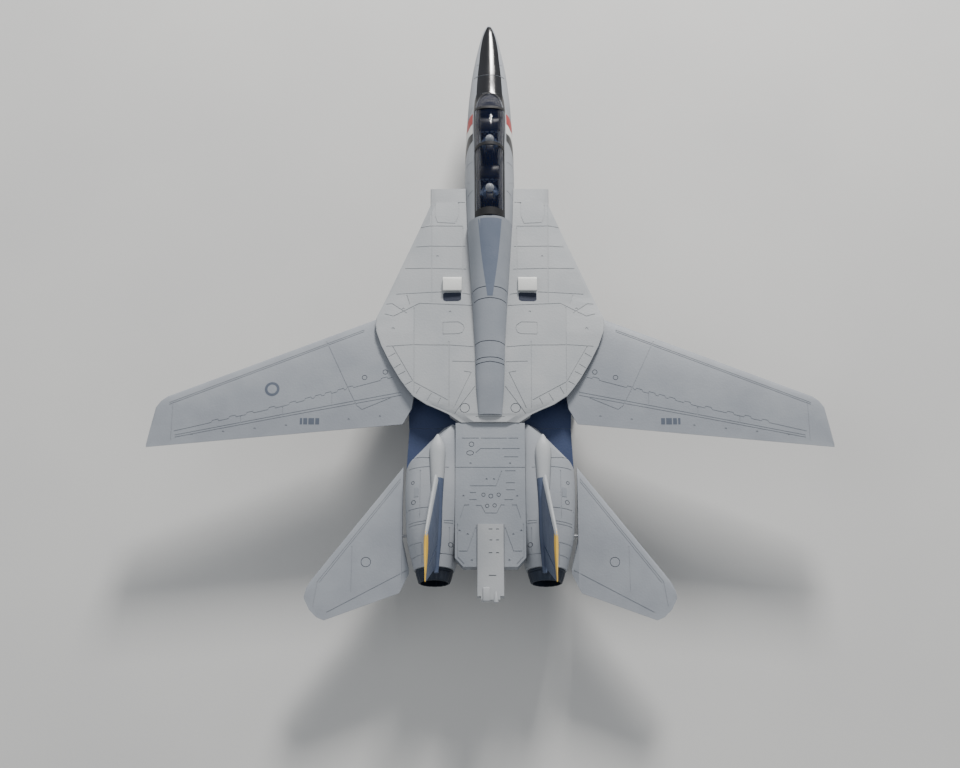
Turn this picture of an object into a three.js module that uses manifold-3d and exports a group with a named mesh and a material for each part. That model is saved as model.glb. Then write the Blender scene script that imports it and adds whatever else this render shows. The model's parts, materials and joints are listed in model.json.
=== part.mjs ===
// Swing-wing twin ducted-fan foam jet model, in millimetres.
// +Y is the nose, +X the right wing and +Z up. The origin is on the ground, under the middle of the model.
// Stations are given as (x, aft, h): x from the centre plane, aft from the nose tip, h above the wing plane.
import * as THREE from 'three';
import Module from 'manifold-3d';
import { mergeVertices } from 'three/addons/utils/BufferGeometryUtils.js';

const wasm = await Module();
wasm.setup();

// ---- Driving dimensions ----
const LENGTH = 744.5; // nose tip to the tips of the tailplane
const WING_PLANE_Z = 95; // wing plane above the ground
const HALF_SPAN = 378.5;
const RADOME_END = 85;
const FRONT_BODY_END = 294;
const FAIRING_END = 531;
const NACELLE_END = 692;
const GAP = 0.3; // kept between neighbouring mouldings

const PIVOT = { x: 105, aft: 427 }; // wing pivot
const PIVOT_RADIUS = 2.6;
const ROOT_RADIUS = 30.7; // the wing root is round about its pivot
const SWEEP_TRAVEL = 46; // degrees the wings fold aft from rest
const BAY = { floor: -11.5, roof: 7.5, clearance: 1.8 };
const FLOOR_PLATE = 4; // thickness of the lower shell's floor

const CRANK = { radius: 20, angle: -60, servoX: 12 }; // sweep crank pin, in degrees from +X towards the tail
const PEG_RADIUS = 1.3; // crank pins
const EYE_RADIUS = 3; // round ends of the horns and links
const DUCT = { inner: 31, wall: 2, bottom: -45 };
const ENGINE = { x: 60.3, h: -16, fanRadius: 24.4 };
const PASSAGE = { riseStart: 564, riseEnd: 585 }; // where it turns from box-shaped to round
const STAB_SHAFT = { aft: 652, h: -20, radius: 1.5 };
const NOSE_WHEEL = { aft: 160, radius: 11, width: 6 };
const MAIN_WHEEL = { x: 97.5, aft: 470, radius: 15, width: 8 };

const NOSE_Y = LENGTH / 2;
const GROUND = -WING_PLANE_Z;

// ---- Shape helpers ----
const at = (x, aft, h) => [x, NOSE_Y - aft, WING_PLANE_Z + h];
const radians = THREE.MathUtils.degToRad;

/** Smooth curve through [aft, value] pairs, held flat past its ends. */
function curve(pairs) {
  const slope = (i) => {
    const a = pairs[Math.max(i - 1, 0)];
    const b = pairs[Math.min(i + 1, pairs.length - 1)];
    return (b[1] - a[1]) / (b[0] - a[0]);
  };
  return (where) => {
    const t0 = THREE.MathUtils.clamp(where, pairs[0][0], pairs[pairs.length - 1][0]);
    let i = 0;
    while (i < pairs.length - 2 && t0 > pairs[i + 1][0]) i += 1;
    const [from, a] = pairs[i];
    const [to, b] = pairs[i + 1];
    const span = to - from;
    const t = (t0 - from) / span;
    const smooth = t * t * (3 - 2 * t);
    const rise = slope(i) * span * t * (1 - t) ** 2 - slope(i + 1) * span * t * t * (1 - t);
    return a + (b - a) * smooth + rise;
  };
}

/** Straight lines through [aft, value] pairs. */
function ramp(pairs) {
  return (where) => {
    const t0 = THREE.MathUtils.clamp(where, pairs[0][0], pairs[pairs.length - 1][0]);
    let i = 0;
    while (i < pairs.length - 2 && t0 > pairs[i + 1][0]) i += 1;
    const [from, a] = pairs[i];
    const [to, b] = pairs[i + 1];
    return a + ((b - a) * (t0 - from)) / (to - from);
  };
}

function solid(geometry) {
  const plain = geometry.clone();
  plain.deleteAttribute('normal');
  plain.deleteAttribute('uv');
  const merged = mergeVertices(plain, 1e-4);
  const vertProperties = new Float32Array(merged.attributes.position.array);
  const triVerts = new Uint32Array(merged.index.array);
  return new wasm.Manifold(new wasm.Mesh({ numProp: 3, vertProperties, triVerts }));
}

function geometryOf(body) {
  const mesh = body.getMesh();
  const geometry = new THREE.BufferGeometry();
  geometry.setAttribute('position', new THREE.BufferAttribute(mesh.vertProperties, 3));
  geometry.setIndex(new THREE.BufferAttribute(mesh.triVerts, 1));
  return geometry;
}

const cut = (body, ...tools) => tools.reduce((left, tool) => left.subtract(tool), body);
const join = (body, ...more) => more.reduce((sum, next) => sum.add(next), body);

/** Triangles that close a ring, in the ring's own direction. */
function capOf(ring) {
  const normal = new THREE.Vector3();
  const p = ring.map((point) => new THREE.Vector3(...point));
  p.forEach((point, i) => normal.add(point.clone().cross(p[(i + 1) % p.length])));
  const size = normal.toArray().map(Math.abs);
  const drop = size.indexOf(Math.max(...size));
  const [u, v] = [0, 1, 2].filter((axis) => axis !== drop);
  const flat = ring.map((point) => new THREE.Vector2(point[u], point[v]));
  const turn = Math.sign(THREE.ShapeUtils.area(flat));
  return THREE.ShapeUtils.triangulateShape(flat, []).map((face) => {
    const area = THREE.ShapeUtils.area(face.map((i) => flat[i]));
    return Math.sign(area) === turn ? face : [face[0], face[2], face[1]];
  });
}

/** Closed solid through rings of equal length. */
function skin(rings) {
  const size = rings[0].length;
  const faces = [];
  for (let r = 0; r < rings.length - 1; r += 1) {
    for (let i = 0; i < size; i += 1) {
      const a = r * size + i;
      const b = r * size + ((i + 1) % size);
      faces.push([a, b, b + size], [a, b + size, a + size]);
    }
  }
  const last = (rings.length - 1) * size;
  capOf(rings[0]).forEach(([a, b, c]) => faces.push([a, c, b]));
  capOf(rings[rings.length - 1]).forEach(([a, b, c]) => faces.push([a + last, b + last, c + last]));
  const points = rings.flat();
  const volume = faces.reduce((sum, face) => {
    const [a, b, c] = face.map((i) => new THREE.Vector3(...points[i]));
    return sum + a.dot(b.cross(c));
  }, 0);
  const outward = volume > 0 ? faces : faces.map(([a, b, c]) => [a, c, b]);
  const geometry = new THREE.BufferGeometry();
  geometry.setAttribute('position', new THREE.Float32BufferAttribute(points.flat(), 3));
  geometry.setIndex(outward.flat());
  return solid(geometry);
}

/** Oval section: power 2 is an ellipse, higher powers are boxier. */
function oval({ x = 0, halfWidth, widest, top, bottom, power = 2.2, count = 24 }) {
  return Array.from({ length: count }, (_, i) => {
    const angle = ((i + 0.5) / count) * 2 * Math.PI;
    const across = Math.sign(Math.cos(angle)) * Math.abs(Math.cos(angle)) ** (2 / power);
    const up = Math.sign(Math.sin(angle)) * Math.abs(Math.sin(angle)) ** (2 / power);
    const reach = up > 0 ? top - widest : widest - bottom;
    return [x + halfWidth * across, widest + reach * up];
  });
}

/** Closed solid through sections [[x, h], ...] given by a function of aft. */
const loft = (stations, section) =>
  skin(stations.map((aft) => section(aft).map(([x, h]) => at(x, aft, h))));

/** Slab with a plan outline of [x, aft] points. */
function plate(outline, low, high) {
  const shape = new THREE.Shape(outline.map(([x, aft]) => new THREE.Vector2(x, NOSE_Y - aft)));
  const geometry = new THREE.ExtrudeGeometry(shape, { depth: high - low, bevelEnabled: false });
  return solid(geometry.translate(0, 0, WING_PLANE_Z + low));
}

/** Slab with a side outline of [aft, h] points, between two x planes. */
const sideSlab = (outline, left, right) =>
  skin([left, right].map((x) => outline.map(([aft, h]) => at(x, aft, h))));

const block = (x0, x1, aft0, aft1, low, high) =>
  sideSlab([[aft0, low], [aft1, low], [aft1, high], [aft0, high]], x0, x1);

/** Solid of revolution with a closed [radius, along] profile, about a point, along one axis. */
function turned(profile, axis, point, segments = 24) {
  const outline = profile.map(([radius, along]) => new THREE.Vector2(radius, along));
  if (outline[0].x > 0) outline.push(outline[0].clone());
  const geometry = new THREE.LatheGeometry(outline, segments);
  if (axis === 'x') geometry.rotateZ(-Math.PI / 2);
  if (axis === 'z') geometry.rotateX(Math.PI / 2);
  geometry.translate(...point);
  const body = solid(geometry);
  if (body.volume() > 0) return body;
  geometry.index.array.reverse();
  return solid(geometry);
}

/** Round bar between two points. */
function bar(from, to, radius, segments = 16) {
  const a = new THREE.Vector3(...from);
  const b = new THREE.Vector3(...to);
  const geometry = new THREE.CylinderGeometry(radius, radius, a.distanceTo(b), segments);
  const along = b.clone().sub(a).normalize();
  const turn = new THREE.Quaternion().setFromUnitVectors(new THREE.Vector3(0, 1, 0), along);
  geometry.applyQuaternion(turn);
  geometry.translate(...a.add(b).multiplyScalar(0.5).toArray());
  return solid(geometry);
}

const AEROFOIL = [0, 0.015, 0.07, 0.2, 0.4, 0.7, 1];

/** Half thickness of a symmetrical aerofoil of unit thickness at a share of its chord. */
function halfThickness(u) {
  const shape = 0.2969 * Math.sqrt(u) - 0.126 * u - 0.3516 * u ** 2 + 0.2843 * u ** 3 - 0.1 * u ** 4;
  return 5 * shape;
}

/** Wing-like solid through stations {x, le, te, h, thickness}; upright ones are thick across x. */
function aerofoil(stations, upright = false) {
  const rings = stations.map(({ x, le, te, h, thickness }) => {
    const point = (u, side) => {
      const off = side * Math.max(halfThickness(u) * thickness, 0.35);
      return at(x + (upright ? off : 0), le + (te - le) * u, h + (upright ? 0 : off));
    };
    const over = AEROFOIL.map((u) => point(u, 1));
    const under = AEROFOIL.slice().reverse().map((u) => point(u, -1));
    return [...over, ...under];
  });
  return skin(rings);
}

/** Points of an arc about a plan point, angles in degrees from +X towards the tail. */
function arc(centre, radius, from, to, steps) {
  return Array.from({ length: steps + 1 }, (_, i) => {
    const angle = radians(from + ((to - from) * i) / steps);
    return [centre.x + radius * Math.cos(angle), centre.aft + radius * Math.sin(angle)];
  });
}

/** A plan point after the right wing has folded aft by some degrees. */
function folded([x, aft], degrees) {
  const angle = radians(degrees);
  const dx = x - PIVOT.x;
  const da = aft - PIVOT.aft;
  const across = dx * Math.cos(angle) - da * Math.sin(angle);
  return [PIVOT.x + across, PIVOT.aft + dx * Math.sin(angle) + da * Math.cos(angle)];
}

const mirrored = (body) => {
  const geometry = geometryOf(body);
  geometry.scale(-1, 1, 1);
  geometry.index.array.reverse();
  return solid(geometry);
};

// ---- Model and its materials ----
const FINISH = {
  foam: { color: 0x9aa3b0, roughness: 0.75 },
  paleFoam: { color: 0xaab0b8, roughness: 0.75 },
  black: { color: 0x14161a, roughness: 0.35 },
  clear: { color: 0x18202e, roughness: 0.1, transparent: true, opacity: 0.5 },
  cockpit: { color: 0x2a2d33, roughness: 0.7 },
  figure: { color: 0xd8dde4, roughness: 0.4 },
  plastic: { color: 0x1b1c1f, roughness: 0.5 },
  steel: { color: 0xb9bcc0, roughness: 0.3, metalness: 1 },
  motor: { color: 0x6a2f9e, roughness: 0.3, metalness: 0.8 },
  tyre: { color: 0x151515, roughness: 0.9 },
  battery: { color: 0x23407a, roughness: 0.4 },
};

const model = new THREE.Group();

function add(name, body, finish) {
  const mesh = new THREE.Mesh(geometryOf(body), new THREE.MeshStandardMaterial(FINISH[finish]));
  mesh.name = name;
  model.add(mesh);
}

function addPair(name, body, finish) {
  add(`${name}_right`, body, finish);
  add(`${name}_left`, mirrored(body), finish);
}

// ---- Front body ----
const BODY = {
  halfWidth: curve([[0, 1.6], [4, 4.4], [10, 7], [30, 12.3], [60, 18.2], [85, 21.8], [115, 24.8],
    [150, 26.9], [187, 28.3], [235, 29.2], [294, 27.8]]),
  widest: curve([[0, -14], [85, -12], [150, -8], [235, -6], [294, -5]]),
  top: curve([[0, -12.4], [4, -10.6], [10, -8.8], [30, -4.2], [60, 3], [85, 9.5], [115, 18],
    [150, 26.5], [190, 31], [235, 33.5], [294, 36]]),
  bottom: curve([[0, -15.6], [4, -17.4], [10, -19.2], [30, -24.3], [60, -29.5], [85, -33], [115, -36],
    [150, -38.5], [235, -40], [294, -40]]),
};

const bodySection = (grow) => (aft) => oval({
  halfWidth: BODY.halfWidth(aft) + grow,
  widest: BODY.widest(aft),
  top: BODY.top(aft) + grow,
  bottom: BODY.bottom(aft) - grow,
});

const CANOPY = {
  halfWidth: curve([[116, 1.5], [119, 7], [124, 11.3], [131, 14.5], [140, 16.4], [150, 17.2], [170, 17],
    [196, 16.3], [294, 15.8]]),
  sill: curve([[116, 17.5], [150, 22.2], [196, 24.5], [294, 27]]),
  crown: curve([[116, 18.5], [119, 20.5], [124, 24], [131, 29], [140, 34.5], [150, 39.5], [165, 44.5],
    [190, 48.5], [220, 50], [260, 48.3], [293, 45]]),
};
const CANOPY_STATIONS = [116, 119, 124, 131, 140, 150, 165, 190, 220, 260, 293];

/** Half-round hatch volume, grown outwards, with its flat base lowered by some amount. */
function dome(grow, sunk, stations = CANOPY_STATIONS) {
  return loft(stations, (aft) => {
    const sill = CANOPY.sill(aft);
    const width = CANOPY.halfWidth(aft) + grow;
    const rise = CANOPY.crown(aft) + grow - sill;
    const arch = Array.from({ length: 11 }, (_, i) => {
      const angle = (i / 10) * Math.PI;
      return [width * Math.cos(angle), sill + rise * Math.sin(angle)];
    });
    return [...arch, [-width, sill - sunk], [width, sill - sunk]];
  });
}

/** Upright-sided well under the hatch, out to the canopy's outline plus some amount. */
const hatchWell = (stations, grow, floor) => loft(stations, (aft) => {
  const width = CANOPY.halfWidth(aft) + grow;
  return [[-width, floor(aft)], [width, floor(aft)], [width, 70], [-width, 70]];
});

function buildFrontBody() {
  add('nose_cone', loft([0, 4, 10, 20, 34, 50, 68, RADOME_END], bodySection(0)), 'foam');

  const outside = loft([RADOME_END + GAP, 100, 115, 132, 150, 170, 190, 212, 235, 265, FRONT_BODY_END],
    bodySection(0));
  const inside = loft([92, 110, 130, 150, 190, 235, 288], bodySection(-4));
  const seat = hatchWell([115.5, ...CANOPY_STATIONS.slice(1), 293.6], 1.6, (aft) => CANOPY.sill(aft) - GAP);
  const opening = hatchWell([126, 131, 140, 150, 190, 235, 289], -1.5, () => -6);
  add('front_fuselage', cut(outside, inside, seat, opening), 'foam');
  add('battery', block(-15.5, 15.5, 150, 250, -25.5, -5.5), 'battery');
  add('receiver', block(-9, 9, 258, 282, -22, -12), 'plastic');
  add('speed_controller', block(-11, 11, 100, 140, -24, -14), 'plastic');
}

// ---- Canopy hatch with cockpit ----
function buildHatch() {
  const shell = cut(dome(0, 0), dome(-1.2, 6, [119, 124, 131, 140, 150, 165, 190, 220, 260, 291.5]));
  add('canopy_glass', shell, 'clear');

  const band = loft([115, 131, 150, 196, 294], (aft) => {
    const sill = CANOPY.sill(aft);
    return [[-30, sill], [30, sill], [30, sill + 2.4], [-30, sill + 2.4]];
  });
  const bows = join(
    sideSlab([[137.6, 10], [141.2, 10], [156.8, 60], [153.2, 60]], -30, 30),
    sideSlab([[198, 10], [202, 10], [205.5, 60], [201.5, 60]], -30, 30),
    block(-30, 30, 284, 295, 10, 60),
  );
  const frameShell = cut(dome(1.1, 0), dome(GAP, 6));
  add('canopy_frame', frameShell.intersect(join(band, bows)), 'black');

  const tubStations = [134.5, 142, 150, 196, 240, 287];
  const tubRing = (inset, floor, lid) => (aft) => {
    const width = CANOPY.halfWidth(aft) - inset;
    return [[-width, floor], [width, floor], [width, lid(aft)], [-width, lid(aft)]];
  };
  const rim = (aft) => CANOPY.sill(aft) - 1;
  const tub = cut(
    loft(tubStations, tubRing(3, -4, rim)),
    loft([136, 142, 150, 196, 240, 285], tubRing(4.4, -2.4, () => 40)),
  );
  const panel = (aft) => sideSlab([[aft, -3], [aft + 7, -3], [aft + 10, 22], [aft - 6, 21]], -12, 12);
  add('cockpit_tub', join(tub, panel(158), panel(222)), 'cockpit');

  [['front', 199], ['rear', 263]].forEach(([place, aft]) => {
    const seat = join(
      sideSlab([[aft, -2], [aft + 5, -2], [aft + 9, 36], [aft + 4, 37]], -6, 6),
      block(-7, 7, aft - 17, aft + 3, -2, 4),
      block(-4.5, 4.5, aft + 1, aft + 9, 33, 41),
    );
    add(`${place}_seat`, seat, 'plastic');
    const torso = loft([aft - 14, aft - 12, aft - 8, aft - 3, aft - 1], (where) => {
      const share = Math.sin((Math.PI * (where - aft + 15)) / 16);
      return oval({ halfWidth: 4 + 5 * share, widest: 20, top: 24 + 8.5 * share, bottom: 5.5, count: 12 });
    });
    const helmet = solid(new THREE.SphereGeometry(5.4, 12, 8).translate(...at(0, aft - 8.5, 36.5)));
    const neck = bar(at(0, aft - 8, 26), at(0, aft - 8, 36), 2.6, 10);
    add(`${place}_pilot`, join(torso, neck, helmet), 'figure');
  });
}

// ---- Wing bay, shared by the shells around it ----
const LEADING_EDGE = ramp([[60, 375.9], [358.7, 497], [366, 502.5], [371, 510], [375, 532], [HALF_SPAN, 553]]);
const TRAILING_CORNER = [97, 530.3];
const ROOT_CORNER = [87, 512];

/** Outline of the space that the right wing sweeps, open towards the outside. */
function bayOutline() {
  const [cornerX, cornerAft] = folded(TRAILING_CORNER, SWEEP_TRAVEL);
  const [rootX, rootAft] = folded(ROOT_CORNER, SWEEP_TRAVEL);
  const [tipX, tipAft] = folded([HALF_SPAN, 556.5], SWEEP_TRAVEL);
  const spare = BAY.clearance;
  const frontX = 140;
  const frontAft = LEADING_EDGE(frontX) - spare - 0.2;
  return [
    [frontX, frontAft],
    ...arc(PIVOT, ROOT_RADIUS + spare, -68, -137, 8),
    [rootX - spare, rootAft - spare],
    [cornerX - spare, cornerAft],
    [cornerX - spare / 2, cornerAft + 2 * spare],
    [tipX, tipAft + 2 * spare],
    [tipX + 100, tipAft],
    [tipX + 100, frontAft],
  ];
}

const bay = plate(bayOutline(), BAY.floor - GAP, BAY.roof);
const bays = join(bay, mirrored(bay));

// ---- Upper shell: glove, overwing fairing and intake roofs ----
const SHELL = {
  halfWidth: ramp([[241, 69], [260, 69], [405, 129], [415, 129.2], [424, 127.4], [440, 121.8], [460, 112],
    [480, 100.5], [492, 92], [500, 85.5], [510, 70.6], [516, 57], [521, 46.5], [531, 32]]),
  top: curve([[241, 9], [300, 12.5], [400, 13.5], [480, 13], [531, 11]]),
  under: ramp([[241, 6.5], [294, -11.5], [531, -11.5]]),
  edge: ramp([[241, 0.4], [405, 0.4], [424, 0.9], [531, 0.9]]),
};

function shellSection(aft) {
  const w = SHELL.halfWidth(aft);
  const top = SHELL.top(aft);
  const under = SHELL.under(aft);
  const depth = top - under;
  const edge = SHELL.edge(aft);
  const flat = Math.min(DUCT.inner, w - 14);
  const shoulder = Math.min(69, w - 7);
  const right = [
    [flat, under],
    [shoulder, under],
    [w - 4, under + depth * edge * 0.15],
    [w - 1, under + depth * edge * 0.6],
    [w, under + depth * edge],
    [w - 1, under + depth * (edge * 0.45 + 0.5)],
    [w - 4, under + depth * (edge * 0.3 + 0.63)],
    [shoulder, top - depth * 0.08],
    [flat, top],
  ];
  return [...right, ...right.map(([x, h]) => [-x, h]).reverse()];
}

function buildUpperShell() {
  const stations = [241, 250, 260, 280, 300, 340, 375, 405, 415, 424, 440, 460, 480, 492, 500, 510, 516, 521,
    FAIRING_END];
  const notch = loft([200, 235, 265, FRONT_BODY_END + GAP], bodySection(GAP));
  const linkChannel = block(-100, 100, 402, 430, BAY.floor - 1, -8.3);
  const hornChannel = block(-36, 36, 403, 433, BAY.floor - 1, -6.4);
  add('upper_shell', cut(loft(stations, shellSection), notch, bays, linkChannel, hornChannel), 'foam');

  const spineWidth = curve([[294, 26], [357, 22], [440, 17], [489, 15.5], [523, 13]]);
  const spineTop = curve([[294, 45], [357, 35], [440, 25], [489, 20], [523, 15]]);
  const spine = loft([FRONT_BODY_END + GAP, 315, 340, 370, 405, 440, 475, 505, 523], (aft) => {
    const base = SHELL.top(aft) + GAP;
    const rise = spineTop(aft) - base;
    const arch = Array.from({ length: 11 }, (_, i) => {
      const angle = (i / 10) * Math.PI;
      const across = Math.sign(Math.cos(angle)) * Math.abs(Math.cos(angle)) ** 0.85;
      return [spineWidth(aft) * across, base + rise * Math.sin(angle)];
    });
    return arch;
  });
  add('spine_cover', spine, 'foam');

  const ventTop = (aft) => SHELL.top(aft) + 4;
  const vent = loft([357.4, 359, 375.1], (aft) => {
    const base = SHELL.top(aft) + GAP;
    const high = aft < 358 ? ventTop(aft) - 2 : ventTop(aft);
    return [[32, base], [53.5, base], [53.5, high - 0.6], [53, high], [32.5, high], [32, high - 0.6]];
  });
  addPair('vent_block', vent, 'paleFoam');
}

// ---- Lower shell: bay floor and keel ----
function buildLowerShell() {
  const right = [[69, 301], [118, 405], [124, 415], [124, 424], [118, 440], [92, 470], [90, FAIRING_END]];
  const outline = [...right, ...right.map(([x, aft]) => [-x, aft]).reverse()];
  const top = BAY.floor - GAP;
  const floor = plate(outline, top - FLOOR_PLATE, top);
  const keelBottom = curve([[294, -40], [330, -36], [380, -30], [531, -30]]);
  const keel = loft([FRONT_BODY_END + GAP, 310, 330, 355, 380, 450, FAIRING_END], (aft) => {
    const side = DUCT.inner - GAP - 0.5;
    const low = keelBottom(aft);
    return [[-side, top], [-side, low + 5], [-side + 7, low], [side - 7, low], [side, low + 5], [side, top]];
  });
  const servoPocket = block(CRANK.servoX - 5.5, CRANK.servoX + 5.5, 416, 437, -27.5, 0);
  const pinHole = bar(at(PIVOT.x, PIVOT.aft, -30), at(PIVOT.x, PIVOT.aft, 0), PIVOT_RADIUS + 0.4);
  const holes = [servoPocket, pinHole];
  add('lower_shell', cut(join(floor, keel), ...holes, ...holes.map(mirrored)), 'foam');
}

// ---- Intakes, engine ducts and nacelles ----
const INTAKE = {
  outer: ramp([[241, 69], [300, 69], [420, 88], [531, 89.5]]),
  top: ramp([[241, 6.2], [294, -11.8], [299, -11.8], [300.5, -16.1], [531, -16.1]]),
};

const intakeRing = (inset) => (aft) => {
  const outer = INTAKE.outer(aft) - inset;
  const inner = DUCT.inner + inset;
  const top = INTAKE.top(aft) - inset;
  const bottom = DUCT.bottom + inset;
  const widest = (top + bottom) / 2;
  const x = (inner + outer) / 2;
  return oval({ x, halfWidth: (outer - inner) / 2, widest, top, bottom, power: 7, count: 20 });
};

const NACELLE = {
  inner: curve([[531, 31], [560, 29.8], [660, 30.5], [692, 38.3]]),
  outer: curve([[531, 89.8], [598, 92.8], [625, 92.3], [660, 90], [684, 84.3], [692, 82.3]]),
  top: curve([[531, 5], [542, 7.5], [556, 9.5], [580, 11], [640, 12], [692, 8]]),
  bottom: curve([[531, -45], [600, -46.5], [660, -44], [692, -38]]),
};

function nacelleRing(aft) {
  const inner = NACELLE.inner(aft);
  const outer = NACELLE.outer(aft);
  return oval({
    x: (inner + outer) / 2,
    halfWidth: (outer - inner) / 2,
    widest: ENGINE.h,
    top: NACELLE.top(aft),
    bottom: NACELLE.bottom(aft),
    power: aft < 600 ? 2.8 : 2.8 - ((aft - 600) / 92) * 0.8,
  });
}

/** Air passage from the intake, through the fan, to the nozzle; it stays under the wing bay, then rises. */
function passageRing(aft) {
  const { riseStart, riseEnd } = PASSAGE;
  const square = THREE.MathUtils.clamp((riseEnd - aft) / (riseEnd - riseStart), 0, 1);
  const radius = ramp([[riseEnd, ENGINE.fanRadius], [616, ENGINE.fanRadius], [634, 18.6], [692, 17]])(aft);
  const mix = (boxy, round) => boxy * square + round * (1 - square);
  return oval({
    x: mix(60.2, ENGINE.x),
    halfWidth: mix(27.2, radius),
    widest: mix(-30.5, ENGINE.h),
    top: mix(-18.1, ENGINE.h + radius),
    bottom: mix(-43, ENGINE.h - radius),
    power: mix(7, 2),
  });
}

const DECK_HALF_WIDTH = 38;
const deckOutline = (grow) => {
  const right = [[DECK_HALF_WIDTH + grow, FAIRING_END + GAP], [DECK_HALF_WIDTH + grow, 683],
    [29 + grow, NACELLE_END + 1 + grow]];
  return [...right, ...right.map(([x, aft]) => [-x, aft]).reverse()];
};

const FIN_FOOT = {
  halfWidth: curve([[545, 0.8], [552, 5], [562, 8.5], [580, 8], [620, 6], [660, 5], [700, 2.4]]),
  top: curve([[545, 10.5], [552, 14], [562, 16.5], [590, 17.5], [640, 16.5], [700, 12]]),
  bottom: ramp([[545, 9.3], [620, 9.3], [645, 6.5], [690, 6.5], [700, 7.5]]),
};
const finFoot = (grow) => loft([545 - grow, 552, 562, 580, 600, 620, 660, 700 + grow], (aft) => oval({
  x: 57.5,
  halfWidth: FIN_FOOT.halfWidth(aft) + grow,
  widest: 10,
  top: FIN_FOOT.top(aft) + grow,
  bottom: FIN_FOOT.bottom(aft) - grow,
  power: 2.4,
  count: 12,
}));

function buildNacelles() {
  const rake = sideSlab([[225, 20], [242.5, 20], [241.3, 5], [262, -50], [225, -50]], 20, 80);
  const duct = cut(
    loft([241, 270, 294, 299, 300.5, 340, 380, 420, 475, FAIRING_END - GAP], intakeRing(0)),
    loft([230, 241, 270, 294, 299, 300.5, 340, 380, 420, 475, 540], intakeRing(DUCT.wall)),
    rake,
  );
  addPair('intake_duct', duct, 'foam');

  const stations = [FAIRING_END + GAP, 536, 542, 549, 556, 568, 580, 600, 625, 645, 660, 672, 684,
    NACELLE_END];
  const outside = loft(stations, nacelleRing);
  const passage = loft([525, 545, 564, 567, 570, 573, 576, 580, 585, 616, 625, 634, 660, 700], passageRing);
  const shoulder = skin([[38, 519], [110, 587]].map(([x, aft]) => [
    at(x, aft, BAY.floor + 1.5), at(x - 8, aft + 9, 14), at(x - 8, aft + 9, 30), at(x + 40, aft - 45, 30),
    at(x + 40, aft - 45, BAY.floor + 1.5),
  ]));
  const servoPocket = block(80.4, 89.4, 641, 663, -27, -13);
  const shaftHole = bar(at(80, STAB_SHAFT.aft, STAB_SHAFT.h), at(99, STAB_SHAFT.aft, STAB_SHAFT.h), 2.2);
  const deckRoom = plate(deckOutline(GAP), -6 - GAP, 30);
  const nacelle = cut(outside, passage, bay, shoulder, deckRoom, finFoot(GAP), servoPocket, shaftHole);
  addPair('nacelle', nacelle, 'foam');
  addPair('stab_servo', block(80.8, 88.8, 642, 662, -26.5, -13.5), 'plastic');

  const centre = at(ENGINE.x, 0, ENGINE.h);
  const on = (aft) => [centre[0], NOSE_Y - aft, centre[2]];
  const nozzleWall = [
    [18.4, 0], [20.6, 0], [20.2, -3], [17.8, -11], [16, -13.2], [15.2, -13.2], [16.4, -10], [17.6, -3],
  ];
  const nozzle = turned(nozzleWall, 'y', on(NACELLE_END + GAP), 28);
  addPair('nozzle', nozzle, 'plastic');

  const rim = turned([[21, 0], [24, 0], [24, -27], [21, -27]], 'y', on(586));
  const bell = turned([[8.6, -13], [10, -13], [10, -27], [8.6, -27]], 'y', on(586));
  const vanes = Array.from({ length: 4 }, (_, i) => {
    const angle = radians(45 + 90 * i);
    const tip = (radius, aft) => [centre[0] + radius * Math.cos(angle), NOSE_Y - aft,
      centre[2] + radius * Math.sin(angle)];
    return join(...[603, 606, 609].map((aft) => bar(tip(9.2, aft), tip(21.6, aft), 1.7, 8)));
  });
  addPair('fan_housing', join(rim, bell, ...vanes), 'plastic');
  const motor = turned([[0, 0], [7, 0], [8.3, -1.5], [8.3, -24], [6, -27], [0, -27]], 'y', on(600));
  addPair('fan_motor', motor, 'motor');

  const hub = turned([[0, 8], [3.5, 6.5], [6.5, 3], [8.4, -2], [8.4, -9.5], [0, -9.5]], 'y', on(590));
  const blades = Array.from({ length: 6 }, (_, i) => {
    const blade = new THREE.BoxGeometry(1.1, 8.5, 13);
    blade.rotateZ(radians(42)).translate(0, 0, 14);
    blade.rotateY(radians(60 * i)).translate(...on(593));
    return solid(blade);
  });
  addPair('fan_rotor', join(hub, ...blades), 'plastic');
}

// ---- Rear deck and boom ----
const boom = (grow) => loft([647 - grow, 693, 729], (aft) => {
  const half = 14.4 + grow;
  const top = 11 + grow;
  const low = ramp([[693, -6.5], [729, 0]])(aft) - grow;
  return [[-half, low], [half, low], [half, top - 1], [half - 1, top], [1 - half, top], [-half, top - 1]];
});

function buildRearDeck() {
  add('rear_deck', cut(plate(deckOutline(0), -6, 8), bays, boom(GAP)), 'foam');
  const tailPlate = block(-8.2, -0.8, 716, 731, 10.5, 13);
  const mast = turned([[0, 6], [2.6, -5], [2.6, -6.5], [0, -6.5]], 'y', at(5.6, 726, 12), 12);
  const corners = [block(10, 20, 725, 735, -20, 20), block(-20, -10, 725, 735, -20, 20)];
  add('tail_boom', join(cut(boom(0), ...corners), tailPlate, mast), 'paleFoam');
}

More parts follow.
